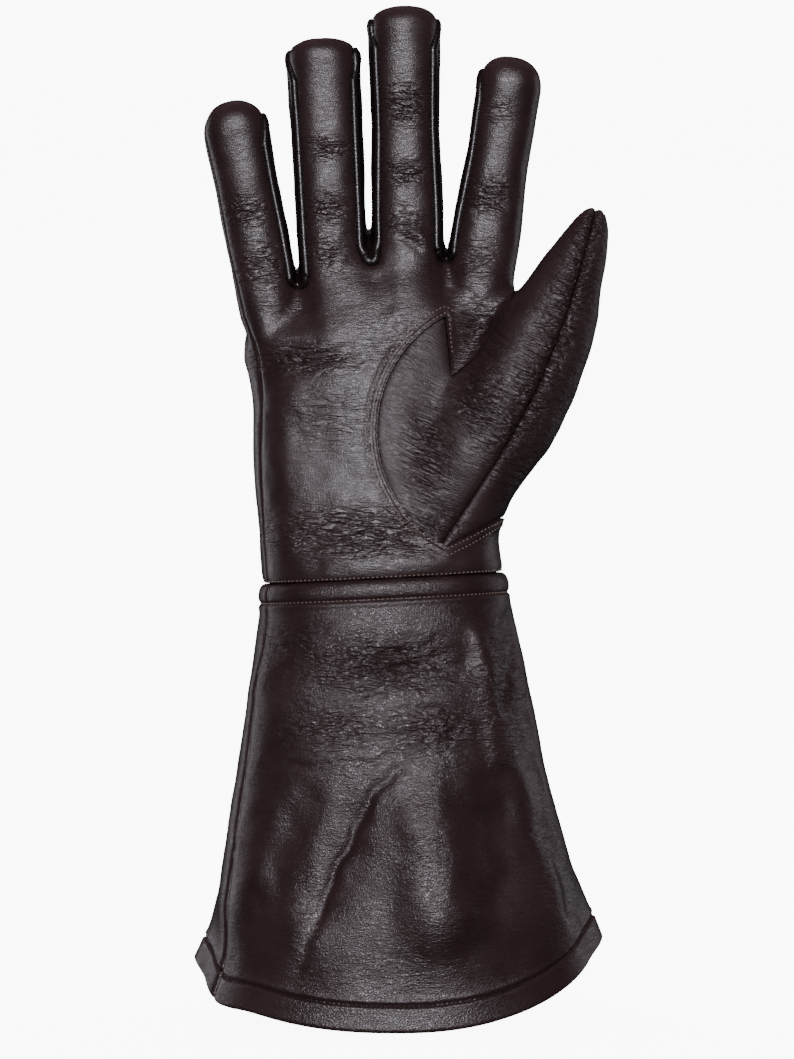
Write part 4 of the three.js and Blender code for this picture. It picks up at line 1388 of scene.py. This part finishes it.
def cuff_piece(name, first, last, columns, downs):
    """One half of the cuff between two turns, as a fine mesh."""
    across = np.linspace(0, 1, columns)
    across = across - COLUMN_EASE * np.sin(2 * math.pi * across)
    turns = first + (last - first) * across
    rows = len(downs)
    turn, down = (a.ravel() for a in np.meshgrid(turns, downs, indexing="ij"))
    plain = cuff_form(turn, down)
    normals = cuff_normals(turn, down)
    spans = [np.linalg.norm(plain - cuff_form(np.full_like(turn, end), down), axis=1)
             for end in (first, last)]
    lift, strength, lie = cuff_lift(turn, down, plain, normals, np.minimum(*spans))
    grid = np.arange(columns * rows).reshape(columns, rows)
    faces = np.stack([grid[:-1, :-1], grid[:-1, 1:], grid[1:, 1:], grid[1:, :-1]], -1)
    length = cuff_length(np.cos(turn), np.sin(turn))
    doubled = ((1 - down) * length < HEM_BAND) | (down * length < TOP_BAND)
    leather_mesh(name, plain + normals * lift[:, None], normals, faces.reshape(-1, 4), lie,
                 strength, np.where(doubled, DOUBLED_WALL, CUFF_WALL), "cuff_leather")

    row = turns[2:-2]
    length = cuff_length(np.cos(row), np.sin(row))
    for kind, place in (("seam_stitches", BAND_STITCH / length),
                        ("hem_stitches", 1 - HEM_BAND / length)):
        plain = cuff_form(row, place)
        out = cuff_normals(row, place)
        rise = cuff_lift(row, place, plain, out, np.full(row.shape, FAR))[0]
        STITCH_LINES.setdefault(kind, []).append(
            np.column_stack([plain + out * (rise[:, None] + STITCH_RISE), out]))


# Settings a user would change


def length(name, description, default, least, most):
    return FloatProperty(name=name, description=description, default=default, min=least,
                         max=most, unit="LENGTH")


def colour(name, description, default):
    return FloatVectorProperty(name=name, description=description, default=default,
                               subtype="COLOR", min=0, max=1)


class GloveSizes(bpy.types.PropertyGroup):
    """Sizes of the dressed leather."""

    cell: length("Mesh spacing", "Spacing of the hand's surface points", 0.0008, 0.0004, 0.003)
    hand_wall: length("Hand leather", "Thickness of the hand's leather", 0.0013, 0.0005, 0.003)
    seam_gap: length("Seam gap", "Gap between two leathers at their seam", 0.0002, 0.0, 0.001)


class GloveStitches(bpy.types.PropertyGroup):
    """Sizes of the stitches."""

    spacing: length("Spacing", "From one stitch to the next", 0.0016, 0.0005, 0.01)
    length: length("Length", "Length of a stitch that shows", 0.00085, 0.0003, 0.01)
    thickness: length("Thickness", "Thickness of the thread", 0.00045, 0.0001, 0.002)


class GloveColours(bpy.types.PropertyGroup):
    """Colours of leather, thread and floor."""

    dark: colour("Dark leather", "The leather's darkest brown", (0.018, 0.0085, 0.0082))
    light: colour("Light leather", "The leather's lightest brown", (0.034, 0.018, 0.0185))
    # The crease colour is painted shade, multiplied into the leather along its fine crease lines.
    crease: colour("Crease tint", "What a crease multiplies the colour by", (0.55, 0.5, 0.5))
    thread: colour("Thread", "Sewing thread", (0.26, 0.2, 0.16))
    dark_thread: colour("Dark thread", "Thread that is hardly seen", (0.01, 0.006, 0.005))
    floor: colour("Floor", "Floor and backdrop", (0.86, 0.86, 0.86))


def sizes():
    return bpy.context.scene.glove_sizes


def colours(share=1.0):
    """The chosen colours; a share below 1 darkens them."""
    own = bpy.context.scene.glove_colours
    return {key: tuple(share * value for value in getattr(own, key))
            for key in own.__annotations__}


# Depths of creases, grain and pores in millimetres, roughness and specular level
LOOKS = {
    "hand": dict(crease=0.36, fine=0.16, fine_floor=0.008, grain=0.028, roughness=0.27,
                 specular=0.5),
    "thumb": dict(crease=0.34, fine=0.15, fine_floor=0.008, grain=0.03, roughness=0.36,
                  specular=0.45),
    "strip": dict(crease=0.1, fine=0.05, fine_floor=0.02, grain=0.02, roughness=0.2,
                  specular=0.5),
    "cuff": dict(crease=0.4, fine=0.16, fine_floor=0.022, grain=0.045, roughness=0.25,
                 specular=0.5),
}
STRIP_PAINTED_SHADE = 0.35  # the strips between the fingers are darkened nearly to black: painted shade for the shade that falls between the fingers


def material_for(kind):
    name = kind + "_nappa"
    # The strips' colours are darkened by painted shade.
    share = STRIP_PAINTED_SHADE if kind == "strip" else 1.0
    return bpy.data.materials.get(name) or leather_material(name, colours(share), LOOKS[kind])


HAND_PIECES = {
    "palm": "hand_leather",
    "back": "hand_leather",
    "thumb_inner_panel": "thumb_leather",
    "thumb_outer_panel": "thumb_leather",
    "fourchette_little_ring": "strip_leather",
    "fourchette_ring_middle": "strip_leather",
    "fourchette_middle_index": "strip_leather",
}
SCORES = (0.5, 1.0, 1.6, 2.4)  # distances from a seam where the mesh gets extra points


def borders(piece, gap):
    """The scalars that bound a piece, each positive on it."""
    on_hand = lambda p: -thumb_side(p) - gap
    if piece.startswith("thumb"):
        side = 1 if piece == "thumb_inner_panel" else -1
        return [lambda p: thumb_side(p) - gap, lambda p: side * thumb_seam_side(p) - gap]
    if piece == "palm":
        return [on_hand, lambda p: front_side(p) - gap, lambda p: wrist_side(p) - gap]
    if piece == "back":
        return [on_hand, lambda p: back_side(p) - gap, lambda p: wrist_side(p) - gap]
    left = next(i for i, f in enumerate(fingers) if piece.startswith("fourchette_" + f["name"]))
    return [on_hand, lambda p: -front_side(p) - gap, lambda p: -back_side(p) - gap,
            lambda p: p[:, 0] - finger_line(left, p),
            lambda p: finger_line(left + 1, p) - p[:, 0]]


class GLOVE_OT_hand(bpy.types.Operator):
    """Make the leather of hand, fingers and thumb, piece by piece"""

    bl_idname = "glove.hand"
    bl_label = "Hand"

    def execute(self, context):
        skin, skin_faces = glove_skin(sizes().cell / METRE)
        gap = sizes().seam_gap / METRE / 2
        for piece, slot in HAND_PIECES.items():
            rows, faces = skin, skin_faces
            edges = borders(piece, gap)
            for edge in edges:
                rows, faces = trimmed(rows, faces, edge)
            rows, faces = largest(rows, faces)
            for edge in edges[:3]:
                rows, faces = scored(rows, faces, edge)
            rows, faces = tidied(rows, faces)
            points, normals = rows[:, PLACE], unit(rows[:, NORMAL])
            lift, strength = hand_lift(piece, points, normals)
            for name, line in stitch_lines(piece, rows, faces, lift):
                STITCH_LINES.setdefault(name, []).append(line)
            wall = np.full(len(points), sizes().hand_wall / METRE)
            leather_mesh(piece, points + normals * lift[:, None], normals, faces,
                         lie_of(piece, points), strength, wall, slot)
        return {"FINISHED"}


CUFF_GAP = 0.002  # radians from each seam of the cuff to its leather


class GLOVE_OT_cuff(bpy.types.Operator):
    """Make both halves of the flared cuff"""

    bl_idname = "glove.cuff"
    bl_label = "Cuff"

    def execute(self, context):
        little = math.asin(abs(CUFF_SEAMS["little"]) ** (CUFF_POWER / 2)) + math.pi
        thumb = math.asin(CUFF_SEAMS["thumb"] ** (CUFF_POWER / 2)) + 2 * math.pi
        cuff_piece("cuff_front", little + CUFF_GAP, thumb - CUFF_GAP, 250,
                   cuff_shares(28, 122, 36))
        cuff_piece("cuff_back", thumb - 2 * math.pi + CUFF_GAP, little - CUFF_GAP, 220,
                   cuff_shares(24, 90, 30))
        return {"FINISHED"}


class GLOVE_OT_stitches(bpy.types.Operator):
    """Lay the stitches along the seams of hand and cuff"""

    bl_idname = "glove.stitches"
    bl_label = "Stitches"

    def execute(self, context):
        tree = stitch_tree()
        own = context.scene.glove_stitches
        light = plain_material("thread", colours()["thread"], 0.6)
        dark = plain_material("dark_thread", colours()["dark_thread"], 0.5)
        kinds = {
            "seam_stitches": ("hand_leather", light, 1.0),
            "fine_stitches": ("strip_leather", dark, 0.7),
            "hem_stitches": ("cuff_leather", dark, 1.0),
        }
        for name, (slot, thread, share) in kinds.items():
            values = {"Spacing": own.spacing, "Length": own.length * share,
                      "Thickness": own.thickness * share, "Thread": thread}
            stitch_piece(name, STITCH_LINES[name], tree, values, slot)
        return {"FINISHED"}


# The stage, in metres
FLOOR = dict(drop=0.0012, front=-1.6, back=0.9, bend=0.5, top=2.4, half=2.6, steps=13)
FLOOR_GLOW = 9.0  # keeps floor and backdrop nearly white
WORLD_LIGHT = 0.04
LIGHT_TINT = (1.0, 0.965, 1.04)
LIGHTS = (
    dict(name="front_light", place=(-0.05, -1.3, 0.32), target=(0, 0, 0), size=(0.3, 0.7),
         power=18.5, glossy=True),
    dict(name="left_light", place=(-1.1, 0.55, 0.1), target=(0, 0, 0), size=(0.4, 1.0),
         power=3.5, glossy=True),
    dict(name="right_light", place=(1.1, 0.55, 0.1), target=(0, 0, 0), size=(0.3, 1.0),
         power=1.8, glossy=True),
    dict(name="floor_light", place=(0, 0.5, 1.7), target=(0, 1.3, -0.1), size=(2.4, 1.2),
         power=60, glossy=False),
)
SENSOR_WIDTH = 36
LENS = 95.2


def softbox(name, place, target, size, power, glossy):
    data = bpy.data.lights.new(name, "AREA")
    data.shape = "RECTANGLE"
    data.size, data.size_y = size
    data.energy = power
    data.color = LIGHT_TINT
    lamp = bpy.data.objects.new(name, data)
    lamp.location = place
    way = Vector(target) - Vector(place)
    lamp.rotation_euler = way.to_track_quat("-Z", "Y").to_euler()
    lamp.visible_glossy = glossy
    bpy.context.scene.collection.objects.link(lamp)


def floor_mesh():
    """A floor that bends up into a backdrop."""
    height = CAD_BOX[0][2] - FLOOR["drop"]
    back, bend = FLOOR["back"], FLOOR["bend"]
    profile = [(FLOOR["front"], 0.0), (back, 0.0)]
    for turn in np.linspace(0, math.pi / 2, FLOOR["steps"])[1:]:
        profile.append((back + bend * math.sin(turn), bend * (1 - math.cos(turn))))
    profile.append((back + bend, FLOOR["top"]))
    vertices = [(x, y, height + z) for x in (-FLOOR["half"], FLOOR["half"]) for y, z in profile]
    count = len(profile)
    faces = [(i, count + i, count + i + 1, i + 1) for i in range(count - 1)]
    mesh = bpy.data.meshes.new("floor")
    mesh.from_pydata(vertices, [], faces)
    mesh.update()
    mesh.shade_smooth()
    mesh.materials.append(plain_material("pale_floor", colours()["floor"], 0.9, FLOOR_GLOW))
    return mesh


class GLOVE_OT_stage(bpy.types.Operator):
    """Lay the pale floor and backdrop, and set lights and camera"""

    bl_idname = "glove.stage"
    bl_label = "Stage"

    def execute(self, context):
        floor = bpy.data.objects.new("floor", floor_mesh())
        context.scene.collection.objects.link(floor)
        floor.visible_glossy = False
        floor.visible_diffuse = False

        world = bpy.data.worlds.new("studio")
        world.use_nodes = True
        background = world.node_tree.nodes["Background"]
        background.inputs["Color"].default_value = (1, 1, 1, 1)
        background.inputs["Strength"].default_value = WORLD_LIGHT
        context.scene.world = world
        for light in LIGHTS:
            softbox(**light)

        data = bpy.data.cameras.new("view")
        data.sensor_fit = "AUTO"
        data.sensor_width = SENSOR_WIDTH
        data.lens = LENS
        camera = bpy.data.objects.new("view", data)
        camera.location = Vector(CAMERA_PLACE) * METRE
        camera.rotation_euler = (math.pi / 2, 0, 0)
        context.scene.collection.objects.link(camera)
        context.scene.camera = camera
        return {"FINISHED"}


class GLOVE_PT_panel(bpy.types.Panel):
    """Lists the glove's operators and settings"""

    bl_label = "Gauntlet glove"
    bl_idname = "GLOVE_PT_panel"
    bl_space_type = "VIEW_3D"
    bl_region_type = "UI"
    bl_category = "Glove"

    def draw(self, context):
        scene = context.scene
        for group in (scene.glove_sizes, scene.glove_stitches, scene.glove_colours):
            for name in group.__annotations__:
                self.layout.prop(group, name)
        for operator in OPERATORS:
            self.layout.operator(operator.bl_idname)


OPERATORS = (GLOVE_OT_hand, GLOVE_OT_cuff, GLOVE_OT_stitches, GLOVE_OT_stage)
CLASSES = (GloveSizes, GloveStitches, GloveColours, *OPERATORS, GLOVE_PT_panel)


def register():
    for cls in CLASSES:
        bpy.utils.register_class(cls)
    bpy.types.Scene.glove_sizes = PointerProperty(type=GloveSizes)
    bpy.types.Scene.glove_stitches = PointerProperty(type=GloveStitches)
    bpy.types.Scene.glove_colours = PointerProperty(type=GloveColours)


def unregister():
    del bpy.types.Scene.glove_colours
    del bpy.types.Scene.glove_stitches
    del bpy.types.Scene.glove_sizes
    for cls in reversed(CLASSES):
        bpy.utils.unregister_class(cls)


def main():
    register()
    bpy.ops.glove.hand()
    bpy.ops.glove.cuff()
    bpy.ops.glove.stitches()
    bpy.ops.glove.stage()


if __name__ == "__main__":
    main()
